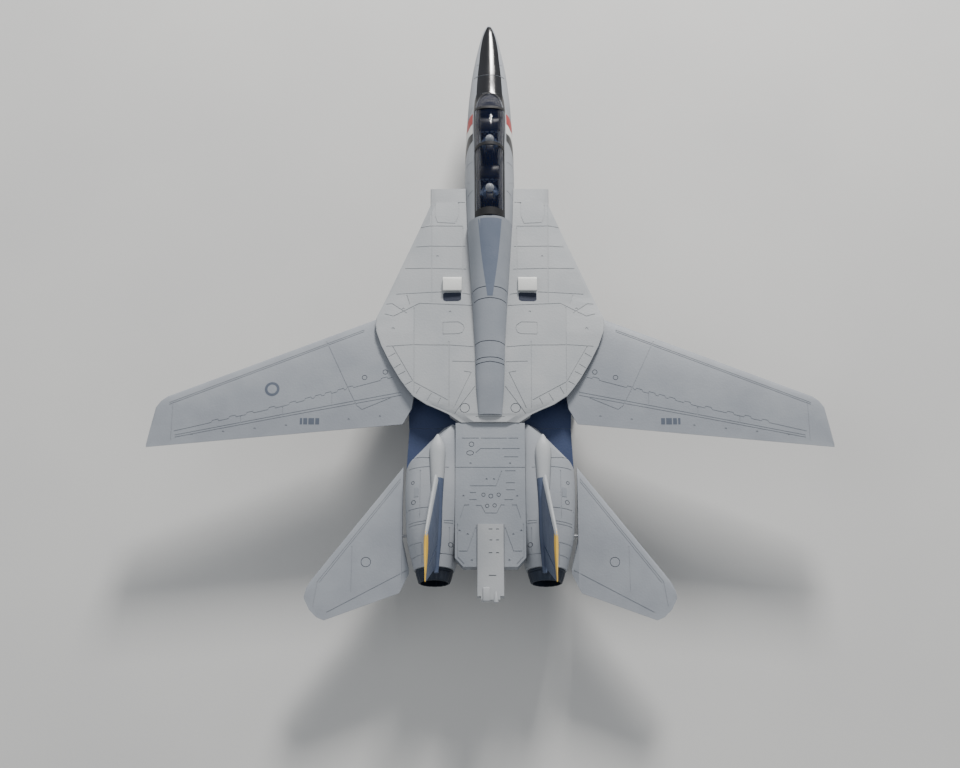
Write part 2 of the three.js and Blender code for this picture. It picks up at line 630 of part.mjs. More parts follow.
// ---- Wings and their sweep drive ----
function buildWings() {
  const trailing = ramp([[60, 526.5], [HALF_SPAN, 556.5]]);
  const thickness = ramp([[60, 12], [129, 12], [358.7, 5.2], [371, 3.6], [HALF_SPAN, 1.4]]);
  const panel = aerofoil([60, 129, 200, 280, 340, 358.7, 366, 371, 375, HALF_SPAN].map((x) => (
    { x, le: LEADING_EDGE(x), te: trailing(x), h: 0, thickness: thickness(x) })));
  const outline = [
    ...arc(PIVOT, ROOT_RADIUS, -60, -180, 12),
    ROOT_CORNER,
    TRAILING_CORNER,
    [TRAILING_CORNER[0], 600],
    [400, 600],
    [400, 380],
    [135, 380],
  ];
  const [pin] = arc(PIVOT, CRANK.radius, CRANK.angle, CRANK.angle, 1);
  const bore = bar(at(PIVOT.x, PIVOT.aft, -20), at(PIVOT.x, PIVOT.aft, 20), PIVOT_RADIUS + 0.4);
  const boss = bar(at(...pin, -8.4), at(...pin, -2), 3.2);
  const peg = bar(at(...pin, -11.2), at(...pin, -2), PEG_RADIUS, 12);
  const wing = cut(panel.intersect(plate(outline, -12, 12)), bore);
  addPair('wing', join(wing, boss, peg), 'foam');
  const pivotAt = (h) => at(PIVOT.x, PIVOT.aft, h);
  const pivotHead = bar(pivotAt(-18.5), pivotAt(-16.2), 4.6);
  addPair('wing_pivot', join(bar(pivotAt(-18), pivotAt(7.1), PIVOT_RADIUS), pivotHead), 'steel');

  const reach = PIVOT.x - CRANK.servoX;
  const hornPin = [pin[0] - reach, pin[1]];
  const servo = [CRANK.servoX, PIVOT.aft];
  const strap = (from, to, half, low, high) => {
    const [dx, da] = new THREE.Vector2(to[0] - from[0], to[1] - from[1]).setLength(half).toArray();
    const slab = plate([
      [from[0] - da, from[1] + dx],
      [from[0] + da, from[1] - dx],
      [to[0] + da, to[1] - dx],
      [to[0] - da, to[1] + dx],
    ], low, high);
    const eye = (where) => bar(at(...where, low), at(...where, high), EYE_RADIUS);
    return join(slab, eye(from), eye(to));
  };
  addPair('sweep_servo', block(CRANK.servoX - 5, CRANK.servoX + 5, 416.5, 436.5, -27, -12.6), 'plastic');
  const horn = join(
    strap(servo, hornPin, 3, -8.5, -6.7),
    bar(at(...servo, -12.2), at(...servo, -7), 3),
    bar(at(...hornPin, -11.2), at(...hornPin, -7), PEG_RADIUS, 12),
  );
  addPair('sweep_horn', horn, 'plastic');
  const holes = [pin, hornPin].map((where) => bar(at(...where, -20), at(...where, 0), PEG_RADIUS + 0.45, 12));
  addPair('sweep_link', cut(strap(hornPin, pin, 1.9, -10.8, -8.9), ...holes), 'steel');
}

// ---- Tail ----
const FIN = { foot: 10, tip: 98, footX: 58.3, tipX: 66, hingeLow: 20, hingeHigh: 84 };
const finLeading = ramp([[FIN.foot, 586], [FIN.tip, 679]]);
const finTrailing = ramp([[FIN.foot, 694], [FIN.tip, 731]]);
const finHinge = ramp([[FIN.hingeLow, 675], [FIN.hingeHigh, 713]]);

function buildTail() {
  const fin = aerofoil([[FIN.foot, 9], [FIN.tip - 4, 4.4], [FIN.tip, 2]].map(([h, thickness]) => {
    const share = (h - FIN.foot) / (FIN.tip - FIN.foot);
    const x = FIN.footX + (FIN.tipX - FIN.footX) * share;
    const rounding = h === FIN.tip ? 3 : 0;
    return { x, h, thickness, le: finLeading(h) + rounding, te: finTrailing(h) };
  }), true);
  const { hingeLow, hingeHigh } = FIN;
  const rudderRoom = sideSlab([[finHinge(hingeLow), hingeLow], [760, hingeLow], [760, hingeHigh],
    [finHinge(hingeHigh), hingeHigh]], 30, 90);
  const rudderCut = sideSlab([[finHinge(hingeLow) - 3.3, hingeLow - 1.2], [760, hingeLow - 1.2],
    [760, hingeHigh + 1.6], [finHinge(hingeHigh) - 0.9, hingeHigh + 1.6]], 30, 90);
  addPair('fin', join(cut(fin, rudderCut), finFoot(0)), 'foam');
  addPair('rudder', fin.intersect(rudderRoom), 'foam');

  const leading = ramp([[88, 688], [95.4, 655], [96, 573.5], [193.5, 701.5], [198, 710], [200, 718]]);
  const trailing = ramp([[88, 694], [98, 715], [178, 744.5], [186, 741], [194, 733], [200, 721]]);
  const thickness = ramp([[88, 2], [95.4, 6.5], [96, 8], [186, 3.4], [200, 1.2]]);
  const stab = aerofoil([88, 95.4, 96, 98, 120, 150, 178, 186, 194, 198, 200].map((x) => (
    { x, le: leading(x), te: trailing(x), h: STAB_SHAFT.h, thickness: thickness(x) })));
  const shaftAt = (x) => at(x, STAB_SHAFT.aft, STAB_SHAFT.h);
  addPair('stab', cut(stab, bar(shaftAt(80), shaftAt(141), STAB_SHAFT.radius + 0.35)), 'foam');
  addPair('stab_shaft', bar(shaftAt(89.2), shaftAt(140.5), STAB_SHAFT.radius), 'steel');

  const ventralLevels = [[60.5, -45, 3, 600, 664], [63.5, -61, 1.4, 622, 660]];
  const ventral = skin(ventralLevels.map(([x, h, half, front, back]) => [
    at(x, front, h), at(x + half, front + 12, h), at(x + half, back - 8, h), at(x, back, h),
    at(x - half, back - 8, h), at(x - half, front + 12, h)]));
  const wall = loft([590, 600, 625, 645, 660, 672], (aft) => nacelleRing(aft).map(([x, h]) => [x, h - GAP]));
  addPair('ventral_fin', cut(ventral, wall), 'foam');
}

// ---- Landing gear ----
function wheel({ radius, width }, point, bore) {
  const half = width / 2;
  return turned([[bore, -half], [radius * 0.45, -half], [radius * 0.55, -half + 0.8], [radius * 0.82, -half],
    [radius, -half * 0.45], [radius, half * 0.45], [radius * 0.82, half], [radius * 0.55, half - 0.8],
    [radius * 0.45, half], [bore, half]], 'x', point, 20);
}

function buildGear() {
  const noseHub = at(0, NOSE_WHEEL.aft + 4, GROUND + NOSE_WHEEL.radius);
  const hubH = GROUND + NOSE_WHEEL.radius;
  const side = NOSE_WHEEL.width / 2 + 1.2;
  const leg = bar(at(0, NOSE_WHEEL.aft, -39.6), at(0, NOSE_WHEEL.aft, hubH + 15), 2.4);
  const { aft } = NOSE_WHEEL;
  const crown = block(-side - 1, side + 1, aft - 2.4, aft + 5, hubH + 12.5, hubH + 15.5);
  const prong = (x) => block(x - 0.9, x + 0.9, aft + 1.4, aft + 6.4, hubH - 2.4, hubH + 13);
  const axle = bar([-side - 1, noseHub[1], noseHub[2]], [side + 1, noseHub[1], noseHub[2]], 1.2, 12);
  const collar = bar(at(0, NOSE_WHEEL.aft, -42), at(0, NOSE_WHEEL.aft, -39.4), 4.6);
  add('nose_strut', join(leg, crown, prong(-side), prong(side), axle, collar), 'steel');
  add('nose_wheel', wheel(NOSE_WHEEL, noseHub, 1.6), 'tyre');

  const mainH = GROUND + MAIN_WHEEL.radius;
  const inboard = MAIN_WHEEL.x - MAIN_WHEEL.width / 2 - 2.6;
  const footTop = DUCT.bottom - GAP;
  const foot = block(68, 86, MAIN_WHEEL.aft - 22, MAIN_WHEEL.aft - 2, footTop - 3, footTop);
  const strut = join(
    foot,
    bar(at(77, MAIN_WHEEL.aft - 12, DUCT.bottom - 2), at(inboard, MAIN_WHEEL.aft, mainH), 2.5),
    bar(at(inboard - 2.4, MAIN_WHEEL.aft, mainH), at(inboard + 0.8, MAIN_WHEEL.aft, mainH), 3.6),
    bar(at(inboard, MAIN_WHEEL.aft, mainH), at(MAIN_WHEEL.x + MAIN_WHEEL.width / 2 + 1, MAIN_WHEEL.aft, mainH),
      1.5, 12),
  );
  addPair('main_strut', strut, 'steel');
  addPair('main_wheel', wheel(MAIN_WHEEL, at(MAIN_WHEEL.x, MAIN_WHEEL.aft, mainH), 1.9), 'tyre');
}

buildFrontBody();
buildHatch();
buildUpperShell();
buildLowerShell();
buildNacelles();
buildRearDeck();
buildWings();
buildTail();
buildGear();

export default model;
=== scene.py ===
"""Looks of the swing-wing ducted-fan foam jet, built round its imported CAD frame.

Shapes are given in millimetres as (x, aft, h): x from the centre plane, aft from the nose tip and h above
the wing plane.
"""

import json
import math

import bmesh
import bpy
import numpy as np
from mathutils import Matrix, Vector
from mathutils.bvhtree import BVHTree


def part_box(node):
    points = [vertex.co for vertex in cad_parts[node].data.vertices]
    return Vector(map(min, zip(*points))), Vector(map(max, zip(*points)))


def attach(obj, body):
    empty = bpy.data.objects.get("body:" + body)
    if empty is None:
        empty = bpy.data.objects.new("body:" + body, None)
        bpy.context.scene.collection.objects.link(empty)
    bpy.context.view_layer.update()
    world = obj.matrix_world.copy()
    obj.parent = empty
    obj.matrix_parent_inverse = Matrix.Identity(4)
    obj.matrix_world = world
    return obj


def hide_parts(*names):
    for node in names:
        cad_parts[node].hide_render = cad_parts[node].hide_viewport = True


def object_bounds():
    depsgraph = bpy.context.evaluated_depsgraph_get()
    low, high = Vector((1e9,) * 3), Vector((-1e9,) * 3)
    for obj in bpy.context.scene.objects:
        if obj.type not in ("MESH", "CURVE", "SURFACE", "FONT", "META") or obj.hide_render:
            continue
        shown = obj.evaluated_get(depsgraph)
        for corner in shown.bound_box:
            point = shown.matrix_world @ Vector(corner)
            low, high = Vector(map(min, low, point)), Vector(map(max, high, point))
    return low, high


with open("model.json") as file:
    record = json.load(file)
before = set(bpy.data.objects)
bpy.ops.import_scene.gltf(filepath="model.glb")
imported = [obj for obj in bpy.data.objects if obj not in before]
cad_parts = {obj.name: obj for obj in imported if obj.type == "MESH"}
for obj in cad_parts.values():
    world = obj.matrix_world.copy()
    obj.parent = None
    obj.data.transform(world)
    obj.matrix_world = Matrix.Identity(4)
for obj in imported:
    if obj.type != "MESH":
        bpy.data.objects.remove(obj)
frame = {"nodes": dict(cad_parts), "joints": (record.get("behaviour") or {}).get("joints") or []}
cad_low, cad_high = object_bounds()

MM = 0.001
SWEEP_JOINT = next(joint for joint in frame["joints"] if joint["name"] == "wing_sweep_right")
NOSE_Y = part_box("nose_cone")[1].y / MM
WING_Z = SWEEP_JOINT["pos_m"][2] / MM
PIVOT = (SWEEP_JOINT["pos_m"][0] / MM, NOSE_Y - SWEEP_JOINT["pos_m"][1] / MM)
HALF_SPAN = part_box("wing_right")[1].x / MM
SWEEP = SWEEP_JOINT["range_deg"][1]
RADOME_END, INTAKE_MOUTH, FRONT_END, FAIRING_END, NACELLE_END = 85, 241, 294, 531, 692
GAP = 0.3
SIDES = (("right", 1), ("left", -1))


# ---- Shape helpers ----
def at(x, aft, h):
    return Vector((x * MM, (NOSE_Y - aft) * MM, (WING_Z + h) * MM))


def curve(pairs):
    """Smooth curve through (where, value) pairs, held flat past its ends."""

    def slope(i):
        a, b = pairs[max(i - 1, 0)], pairs[min(i + 1, len(pairs) - 1)]
        return (b[1] - a[1]) / (b[0] - a[0])

    def value(where):
        t0 = min(max(where, pairs[0][0]), pairs[-1][0])
        i = 0
        while i < len(pairs) - 2 and t0 > pairs[i + 1][0]:
            i += 1
        (start, a), (stop, b) = pairs[i], pairs[i + 1]
        span = stop - start
        t = (t0 - start) / span
        rise = slope(i) * span * t * (1 - t) ** 2 - slope(i + 1) * span * t * t * (1 - t)
        return a + (b - a) * t * t * (3 - 2 * t) + rise

    return value


def ramp(pairs):
    xs, ys = zip(*pairs)
    return lambda where: float(np.interp(where, xs, ys))


def spread(start, stop, step, *extra):
    """Stations from start to stop about step apart, with some extra ones."""
    count = max(int(math.ceil((stop - start) / step)), 1)
    places = [start + (stop - start) * i / count for i in range(count + 1)]
    kept = [p for p in places if all(abs(p - e) > step * 0.25 for e in extra) or p in (start, stop)]
    return sorted(set(kept + [e for e in extra if start < e < stop]))


BODY_POWER = 2.2


def oval(half_width, widest, top, bottom, x=0.0, power=BODY_POWER, count=72):
    """Oval section: power 2 is an ellipse, higher powers are boxier."""
    ring = []
    for i in range(count):
        a = (i + 0.5) / count * 2 * math.pi
        across = math.copysign(abs(math.cos(a)) ** (2 / power), math.cos(a))
        up = math.copysign(abs(math.sin(a)) ** (2 / power), math.sin(a))
        ring.append((x + half_width * across, widest + (top - widest if up > 0 else widest - bottom) * up))
    return ring


def linked(name, data):
    """New object in the scene."""
    obj = bpy.data.objects.new(name, data)
    bpy.context.scene.collection.objects.link(obj)
    return obj


def solid(points, faces, name="shape"):
    """Mesh object in the scene, with its faces turned outwards."""
    mesh = bpy.data.meshes.new(name)
    mesh.from_pydata([tuple(p) for p in points], [], faces)
    work = bmesh.new()
    work.from_mesh(mesh)
    bmesh.ops.recalc_face_normals(work, faces=work.faces)
    if work.calc_volume(signed=True) < 0:
        bmesh.ops.reverse_faces(work, faces=work.faces)
    work.to_mesh(mesh)
    work.free()
    return linked(name, mesh)


def skin(rings, closed=False):
    """Closed solid through rings of equal length, or a loop of them."""
    size = len(rings[0])
    faces = []
    for r in range(len(rings) - (0 if closed else 1)):
        a0, b0 = r * size, ((r + 1) % len(rings)) * size
        for i in range(size):
            j = (i + 1) % size
            faces.append((a0 + i, a0 + j, b0 + j, b0 + i))
    if not closed:
        last = (len(rings) - 1) * size
        faces.append(tuple(range(size)))
        faces.append(tuple(reversed(range(last, last + size))))
    return solid([p for ring in rings for p in ring], faces)


def loft(stations, section):
    return skin([[at(x, aft, h) for x, h in section(aft)] for aft in stations])


def plate(outline, low, high):
    return skin([[at(x, aft, h) for x, aft in outline] for h in (low, high)])


def side_slab(outline, left, right):
    return skin([[at(x, aft, h) for aft, h in outline] for x in (left, right)])


def block(x0, x1, aft0, aft1, low, high, round_by=0.0):
    obj = side_slab([(aft0, low), (aft1, low), (aft1, high), (aft0, high)], x0, x1)
    return bevelled(obj, round_by) if round_by else obj


def turned(profile, axis, centre, segments=64, radius_of=None):
    """Solid of revolution with a closed (radius, along) profile; along is measured along the axis."""
    frames = {"x": ((0, 1, 0), (0, 0, 1), (1, 0, 0)), "y": ((1, 0, 0), (0, 0, 1), (0, 1, 0)),
              "z": ((1, 0, 0), (0, 1, 0), (0, 0, 1))}
    u, v, along = (Vector(a) for a in frames[axis])
    rings = []
    for i in range(segments):
        a = 2 * math.pi * i / segments
        out = u * math.cos(a) + v * math.sin(a)
        rings.append([])
        for r, t in profile:
            wide = max(r, 0.02) * (radius_of(a, t) if radius_of else 1)
            rings[-1].append(centre + out * (wide * MM) + along * t * MM)
    return skin(rings, closed=True)


def circle(centre, u, v, radius, segments):
    """Points round a centre in the plane of u and v."""
    return [centre + (u * math.cos(t) + v * math.sin(t)) * radius * MM
            for t in (2 * math.pi * i / segments for i in range(segments))]


def bar(start, end, radius, segments=32, end_radius=None):
    """Round bar between two points."""
    way = (end - start).normalized()
    side = way.orthogonal().normalized()
    other = way.cross(side)
    ends = ((start, radius), (end, radius if end_radius is None else end_radius))
    return skin([circle(point, side, other, r, segments) for point, r in ends])


def tube(points, radius, segments=16):
    """Round bar that follows several points."""
    rings = []
    for i, point in enumerate(points):
        way = (points[min(i + 1, len(points) - 1)] - points[max(i - 1, 0)]).normalized()
        side = way.cross(Vector((0, 0, 1)) if abs(way.z) < 0.9 else Vector((1, 0, 0))).normalized()
        rings.append(circle(point, side, way.cross(side), radius, segments))
    return skin(rings)


def ball(centre, radii, count=24):
    """Ellipsoid with (x, y, z) radii."""
    rings = []
    for r in range(count + 1):
        t = math.pi * min(max(r / count, 0.01), 0.99)
        rings.append([centre + Vector((radii[0] * math.sin(t) * math.cos(a),
                                       radii[1] * math.sin(t) * math.sin(a), radii[2] * math.cos(t))) * MM
                      for a in (2 * math.pi * i / (2 * count) for i in range(2 * count))])
    return skin(rings)


def baked(obj):
    """Applies obj's modifiers to its mesh."""
    mesh = bpy.data.meshes.new_from_object(obj.evaluated_get(bpy.context.evaluated_depsgraph_get()))
    obj.modifiers.clear()
    obj.data = mesh
    return obj


def soft_edges(obj, width, segments, angle):
    """Adds a bevel on the sharp edges only."""
    modifier = obj.modifiers.new("round", "BEVEL")
    modifier.width = width * MM
    modifier.segments = segments
    modifier.limit_method = "ANGLE"
    modifier.angle_limit = math.radians(angle)


def bevelled(obj, width):
    soft_edges(obj, width, 3, 35)
    return baked(obj)


def boolean(obj, tools, operation="DIFFERENCE"):
    """Combines obj with the tools, which are used up."""
    for tool in tools:
        modifier = obj.modifiers.new("shape", "BOOLEAN")
        modifier.operation = operation
        modifier.solver = "MANIFOLD"
        modifier.object = tool
    baked(obj)
    for tool in tools:
        bpy.data.objects.remove(tool)
    return obj


def cut(obj, *tools):
    return boolean(obj, tools)


def join(obj, *more):
    return boolean(obj, more, "UNION")


def common(obj, tool):
    return boolean(obj, [tool], "INTERSECT")


def mirrored(obj):
    """Copy of obj on the other side of the centre plane."""
    mesh = obj.data.copy()
    mesh.transform(Matrix.Scale(-1, 4, (1, 0, 0)))
    mesh.flip_normals()
    return linked(obj.name, mesh)


def on_side(obj, sign):
    """obj itself on the right, or its mirror image instead of it on the left."""
    if sign > 0:
        return obj
    other = mirrored(obj)
    bpy.data.objects.remove(obj)
    return other


def together(*objs):
    """One object with all the faces of several, left as separate shells."""
    points, faces = [], []
    for obj in objs:
        base = len(points)
        points += [v.co.copy() for v in obj.data.vertices]
        faces += [tuple(base + i for i in p.vertices) for p in obj.data.polygons]
        bpy.data.objects.remove(obj)
    mesh = bpy.data.meshes.new("shape")
    mesh.from_pydata([tuple(p) for p in points], [], faces)
    return linked("shape", mesh)


def piece(obj, name, body, materials, slot, *stands_for, angle=32):
    """Names a finished mesh, shades it and hands it to its body."""
    obj.name = name
    obj.data.name = name
    finishes = materials if isinstance(materials, (list, tuple)) else [materials]
    which = [min(p.material_index, len(finishes) - 1) for p in obj.data.polygons]
    obj.data.materials.clear()
    for material in finishes:
        obj.data.materials.append(material)
    obj.data.polygons.foreach_set("material_index", which)
    obj.data.polygons.foreach_set("use_smooth", [True] * len(obj.data.polygons))
    obj.data.set_sharp_from_angle(angle=math.radians(angle))
    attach(obj, body)
    if stands_for:
        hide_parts(*stands_for)
    return obj


# ---- Lines, inlays and raised patches that follow a surface ----
def probe_from(obj, direction):
    """Function from (x, aft, lift) to the point of obj's surface met going down, right or left."""
    tree = BVHTree.FromPolygons([v.co.copy() for v in obj.data.vertices],
                                [tuple(p.vertices) for p in obj.data.polygons])

    def down(x, aft, lift):
        start = at(x, aft, 200)
        hit = tree.ray_cast(start, Vector((0, 0, -1)))[0]
        if hit is None:
            hit = tree.find_nearest(at(x, aft, 12))[0]
            return Vector((start.x, start.y, hit.z + lift * MM))
        return Vector((hit.x, hit.y, hit.z + lift * MM))

    def sideways(sign):
        def probe(aft, h, lift):
            hit = tree.ray_cast(at(sign * 300, aft, h), Vector((-sign, 0, 0)))[0]
            if hit is None:
                hit = tree.find_nearest(at(sign * 20, aft, h))[0]
                hit = Vector((hit.x, at(0, aft, h).y, at(0, aft, h).z))
            return hit + Vector((sign * lift * MM, 0, 0))
        return probe

    return down if direction == "down" else sideways(1 if direction == "right" else -1)


def resampled(points, step, closed=False):
    points = [Vector(p) for p in points]
    if closed:
        points.append(points[0])
    made = []
    for a, b in zip(points, points[1:]):
        count = max(int(math.ceil((b - a).length / step)), 1)
        made += [a.lerp(b, i / count) for i in range(count)]
    return made if closed else made + [points[-1]]


def band(probe, pairs, low, high, across=1, closed=False):
    """Closed solid between two edges given as pairs of points, from low to high about the surface."""
    rings = []
    for a, b in pairs:
        row = [(a[0] + (b[0] - a[0]) * i / across, a[1] + (b[1] - a[1]) * i / across)
               for i in range(across + 1)]
        rings.append([probe(*p, high) for p in row] + [probe(*p, low) for p in reversed(row)])
    return skin(rings, closed)


GROOVE_CLEARANCE = 1.2


def line(probe, points, width, low, closed=False, step=5.0):
    """Ribbon of some width along a line on the surface."""
    path = resampled(points, step, closed)
    size = len(path)
    pairs = []
    for i, p in enumerate(path):
        before = path[(i - 1) % size] if closed or i else p
        after = path[(i + 1) % size] if closed or i < size - 1 else p
        way = (after - before).normalized()
        side = Vector((-way.y, way.x)) * width / 2
        pairs.append((p + side, p - side))
    return band(probe, pairs, low, GROOVE_CLEARANCE, 1, closed)


def ring_line(centre, radius, squash=1.0):
    count = 28
    return [(centre[0] + radius * math.cos(2 * math.pi * i / count),
             centre[1] + radius * squash * math.sin(2 * math.pi * i / count)) for i in range(count)]


def disc(probe, centre, radius, low, high):
    """Round patch on the surface."""
    pairs = []
    for i in range(19):
        t = math.pi * (i + 0.4) / 18.8
        half = radius * math.sin(t)
        aft = centre[1] - radius * math.cos(t)
        pairs.append(((centre[0] - half, aft), (centre[0] + half, aft)))
    return band(probe, pairs, low, high, 6)


def mirror_points(points):
    return [(-x, aft) for x, aft in points]


def grooved(obj, tools):
    """Cuts grooves whose faces get the second material."""
    for tool in tools:
        tool.data.polygons.foreach_set("material_index", [1] * len(tool.data.polygons))
    obj.data.materials.clear()
    for mesh in [obj.data] + [tool.data for tool in tools]:
        mesh.materials.append(None)
        mesh.materials.append(None)
    return boolean(obj, tools)


def engrave(obj, lines, width=0.9, depth=0.5, direction="down", loops=(), both=False):
    """Cuts narrow grooves along lines; with both, also along their mirror images."""
    probe = probe_from(obj, direction)
    tools = []
    for points in list(lines) + ([mirror_points(p) for p in lines] if both else []):
        tools.append(line(probe, points, width, -depth))
    for points in list(loops) + ([mirror_points(p) for p in loops] if both else []):
        tools.append(line(probe, points, width, -depth, closed=True, step=50))
    return grooved(obj, tools)


# ---- Camera, floor and light ----
CAMERA_LENS, CAMERA_ELEVATION, CAMERA_DISTANCE = 54.45, 69, 1.6225
AIM_ACROSS, AIM_BEHIND = -11.2, 110.1


def make_camera():
    data = bpy.data.cameras.new("camera")
    data.lens = CAMERA_LENS
    data.sensor_width = 36
    data.clip_start, data.clip_end = 0.02, 30
    camera = linked("camera", data)
    elevation = math.radians(CAMERA_ELEVATION)
    aim = at(AIM_ACROSS, NOSE_Y + AIM_BEHIND, 0)
    back = Vector((0, -math.cos(elevation), math.sin(elevation)))
    camera.location = aim + back * CAMERA_DISTANCE
    camera.rotation_euler = (-back).to_track_quat("-Z", "Y").to_euler()
    bpy.context.scene.camera = camera


make_camera()


def shader(name):
    material = bpy.data.materials.new(name)
    material.use_nodes = True
    tree = material.node_tree
    return material, tree, tree.nodes["Principled BSDF"]


def linear(colour):
    return tuple(((c / 255 + 0.055) / 1.055) ** 2.4 if c > 10 else c / 3294.6 for c in colour) + (1,)


def link_noise(tree, scale, detail=3.0, kind="ShaderNodeTexNoise"):
    coords = tree.nodes.new("ShaderNodeTexCoord")
    texture = tree.nodes.new(kind)
    texture.inputs["Scale"].default_value = scale
    if kind == "ShaderNodeTexNoise":
        texture.inputs["Detail"].default_value = detail
    tree.links.new(coords.outputs["Object"], texture.inputs["Vector"])
    return texture


def ranged(tree, source, low, high):
    """Source stretched from 0..1 to low..high."""
    node = tree.nodes.new("ShaderNodeMapRange")
    node.inputs["To Min"].default_value = low
    node.inputs["To Max"].default_value = high
    tree.links.new(source, node.inputs["Value"])
    return node.outputs["Result"]


def mixed(tree, factor, a, b):
    """Colour from a, a colour or a socket, to b by a factor socket."""
    mix = tree.nodes.new("ShaderNodeMix")
    mix.data_type = "RGBA"
    if isinstance(a, tuple):
        mix.inputs["A"].default_value = linear(a)
    else:
        tree.links.new(a, mix.inputs["A"])
    mix.inputs["B"].default_value = linear(b)
    tree.links.new(factor, mix.inputs["Factor"])
    return mix.outputs["Result"]


def bumped(tree, surface, source, strength, distance):
    height = tree.nodes.new("ShaderNodeBump")
    height.inputs["Strength"].default_value = strength
    height.inputs["Distance"].default_value = distance
    tree.links.new(source, height.inputs["Height"])
    tree.links.new(height.outputs["Normal"], surface.inputs["Normal"])


def finish_of(name, colour, other, rough=(0.45, 0.6), grain=420.0, blotch=26.0, bump=0.00012, metal=0.0,
              coat=0.0, beads=True):
    """Painted or bare surface: two close colours in soft blotches, uneven sheen and a fine texture."""
    material, tree, surface = shader(name)
    patches = link_noise(tree, blotch, 4.0)
    contrast = tree.nodes.new("ShaderNodeMapRange")
    contrast.inputs["From Min"].default_value = 0.35
    contrast.inputs["From Max"].default_value = 0.65
    tree.links.new(patches.outputs["Fac"], contrast.inputs["Value"])
    tree.links.new(mixed(tree, contrast.outputs["Result"], colour, other), surface.inputs["Base Color"])
    fine = link_noise(tree, grain * 0.6, 5.0)
    tree.links.new(ranged(tree, fine.outputs["Fac"], *rough), surface.inputs["Roughness"])
    bumps = link_noise(tree, grain, kind="ShaderNodeTexVoronoi") if beads else link_noise(tree, grain, 4.0)
    bumped(tree, surface, bumps.outputs["Distance" if beads else "Fac"], 0.6, bump)
    surface.inputs["Metallic"].default_value = metal
    surface.inputs["Coat Weight"].default_value = coat
    surface.inputs["Coat Roughness"].default_value = 0.08
    return material


# One foam grey in several copies, each lighter or darker by how light falls on its parts: the pale copy is
# painted light, and the darker wing, deck, spine and under copies are painted shade.
GREY = finish_of("foam_grey", (164, 168, 174), (155, 160, 167))
WING_GREY = finish_of("wing_foam", (156, 161, 168), (147, 152, 160))
LIT_PALE_GREY = finish_of("foam_grey_painted_light", (178, 181, 184), (169, 173, 177))
DECK_GREY = finish_of("deck_foam", (152, 157, 164), (143, 149, 157))
SHADED_SPINE_GREY = finish_of("spine_grey_painted_shade", (150, 155, 163), (141, 147, 156))
UNDER_GREY = finish_of("under_foam", (158, 163, 170), (149, 155, 163))


def maths(tree, operation, first, second):
    """Result for a socket and either another socket or a number."""
    node = tree.nodes.new("ShaderNodeMath")
    node.operation = operation
    tree.links.new(first, node.inputs[0])
    if isinstance(second, float):
        node.inputs[1].default_value = second
    else:
        tree.links.new(second, node.inputs[1])
    return node.outputs[0]


def with_painted_ledge_shade(material, below):
    """Paints shade, in blue, on upward-facing faces that lie below some height, such as the floor of the
    wing bays.
    """
    tree = material.node_tree
    surface = tree.nodes["Principled BSDF"]
    colour = surface.inputs["Base Color"].links[0].from_socket
    coords = tree.nodes.new("ShaderNodeTexCoord")
    place = tree.nodes.new("ShaderNodeSeparateXYZ")
    facing = tree.nodes.new("ShaderNodeSeparateXYZ")
    tree.links.new(coords.outputs["Object"], place.inputs["Vector"])
    tree.links.new(coords.outputs["Normal"], facing.inputs["Vector"])
    low_part = maths(tree, "LESS_THAN", place.outputs["Z"], (WING_Z + below) * MM)
    upward = maths(tree, "GREATER_THAN", facing.outputs["Z"], 0.8)
    ledge_shade = maths(tree, "MULTIPLY", low_part, upward)
    tree.links.new(mixed(tree, ledge_shade, colour, LEDGE_SHADE_BLUE), surface.inputs["Base Color"])
    return material


# Painted shade: the blue that bay floors and nacelle ledges get below the wing plane.
LEDGE_SHADE_BLUE = (44, 60, 96)
BAY_GREY = with_painted_ledge_shade(finish_of("bay_floor_foam", (158, 163, 170), (149, 155, 163)), -9)
NACELLE_GREY = with_painted_ledge_shade(finish_of("nacelle_foam", (164, 168, 174), (155, 160, 167)), -9.5)
# Painted light: white that stands for the lit faces of the bleed vent blocks.
VENT_LIT_WHITE = finish_of("vent_white_painted_light", (226, 227, 224), (214, 216, 214))
SEAM = finish_of("seam", (88, 94, 105), (79, 86, 98), rough=(0.6, 0.75), beads=False, bump=0.00003)
# Painted shadow: dark blue that stands for the shadow each bleed vent casts behind it.
VENT_SHADOW_PAINT = finish_of("vent_shadow_paint", (34, 44, 68), (26, 35, 56), rough=(0.5, 0.7))
# Painted shade: the darker band down the front of the dorsal spine.
SPINE_SHADE_DARK = finish_of("spine_painted_shade", (112, 121, 138), (102, 112, 130))
# Painted shade: the grey foam of fins and rudders given the blue of their shaded faces.
FIN_SHADE_BLUE = finish_of("fin_painted_shade_blue", (84, 96, 120), (72, 84, 110))
YELLOW = finish_of("yellow_paint", (238, 192, 74), (230, 184, 66), rough=(0.4, 0.55))
RED = finish_of("red_marking", (178, 40, 40), (164, 34, 36), rough=(0.35, 0.5), beads=False, bump=0.00002)
BLACK = finish_of("black_marking", (20, 21, 25), (27, 28, 32), rough=(0.3, 0.45), beads=False, bump=0.00002)
WHITE_MARK = finish_of("white_marking", (228, 229, 226), (218, 219, 217), rough=(0.35, 0.5), beads=False,
                       bump=0.00002)
DARK_MARK = finish_of("dark_marking", (98, 106, 120), (90, 98, 112), rough=(0.4, 0.55), beads=False,
                      bump=0.00002)
GLOSS_BLACK = finish_of("gloss_black", (14, 15, 19), (19, 20, 25), rough=(0.1, 0.2), grain=90, bump=0.00004,
                        beads=False, coat=0.7)
FRAME_BLACK = finish_of("canopy_frame_black", (12, 13, 18), (17, 18, 24), rough=(0.6, 0.75), beads=False,
                        bump=0.00003)
TUB = finish_of("cockpit_dark", (20, 26, 46), (15, 20, 38), rough=(0.55, 0.75), grain=900, beads=False)
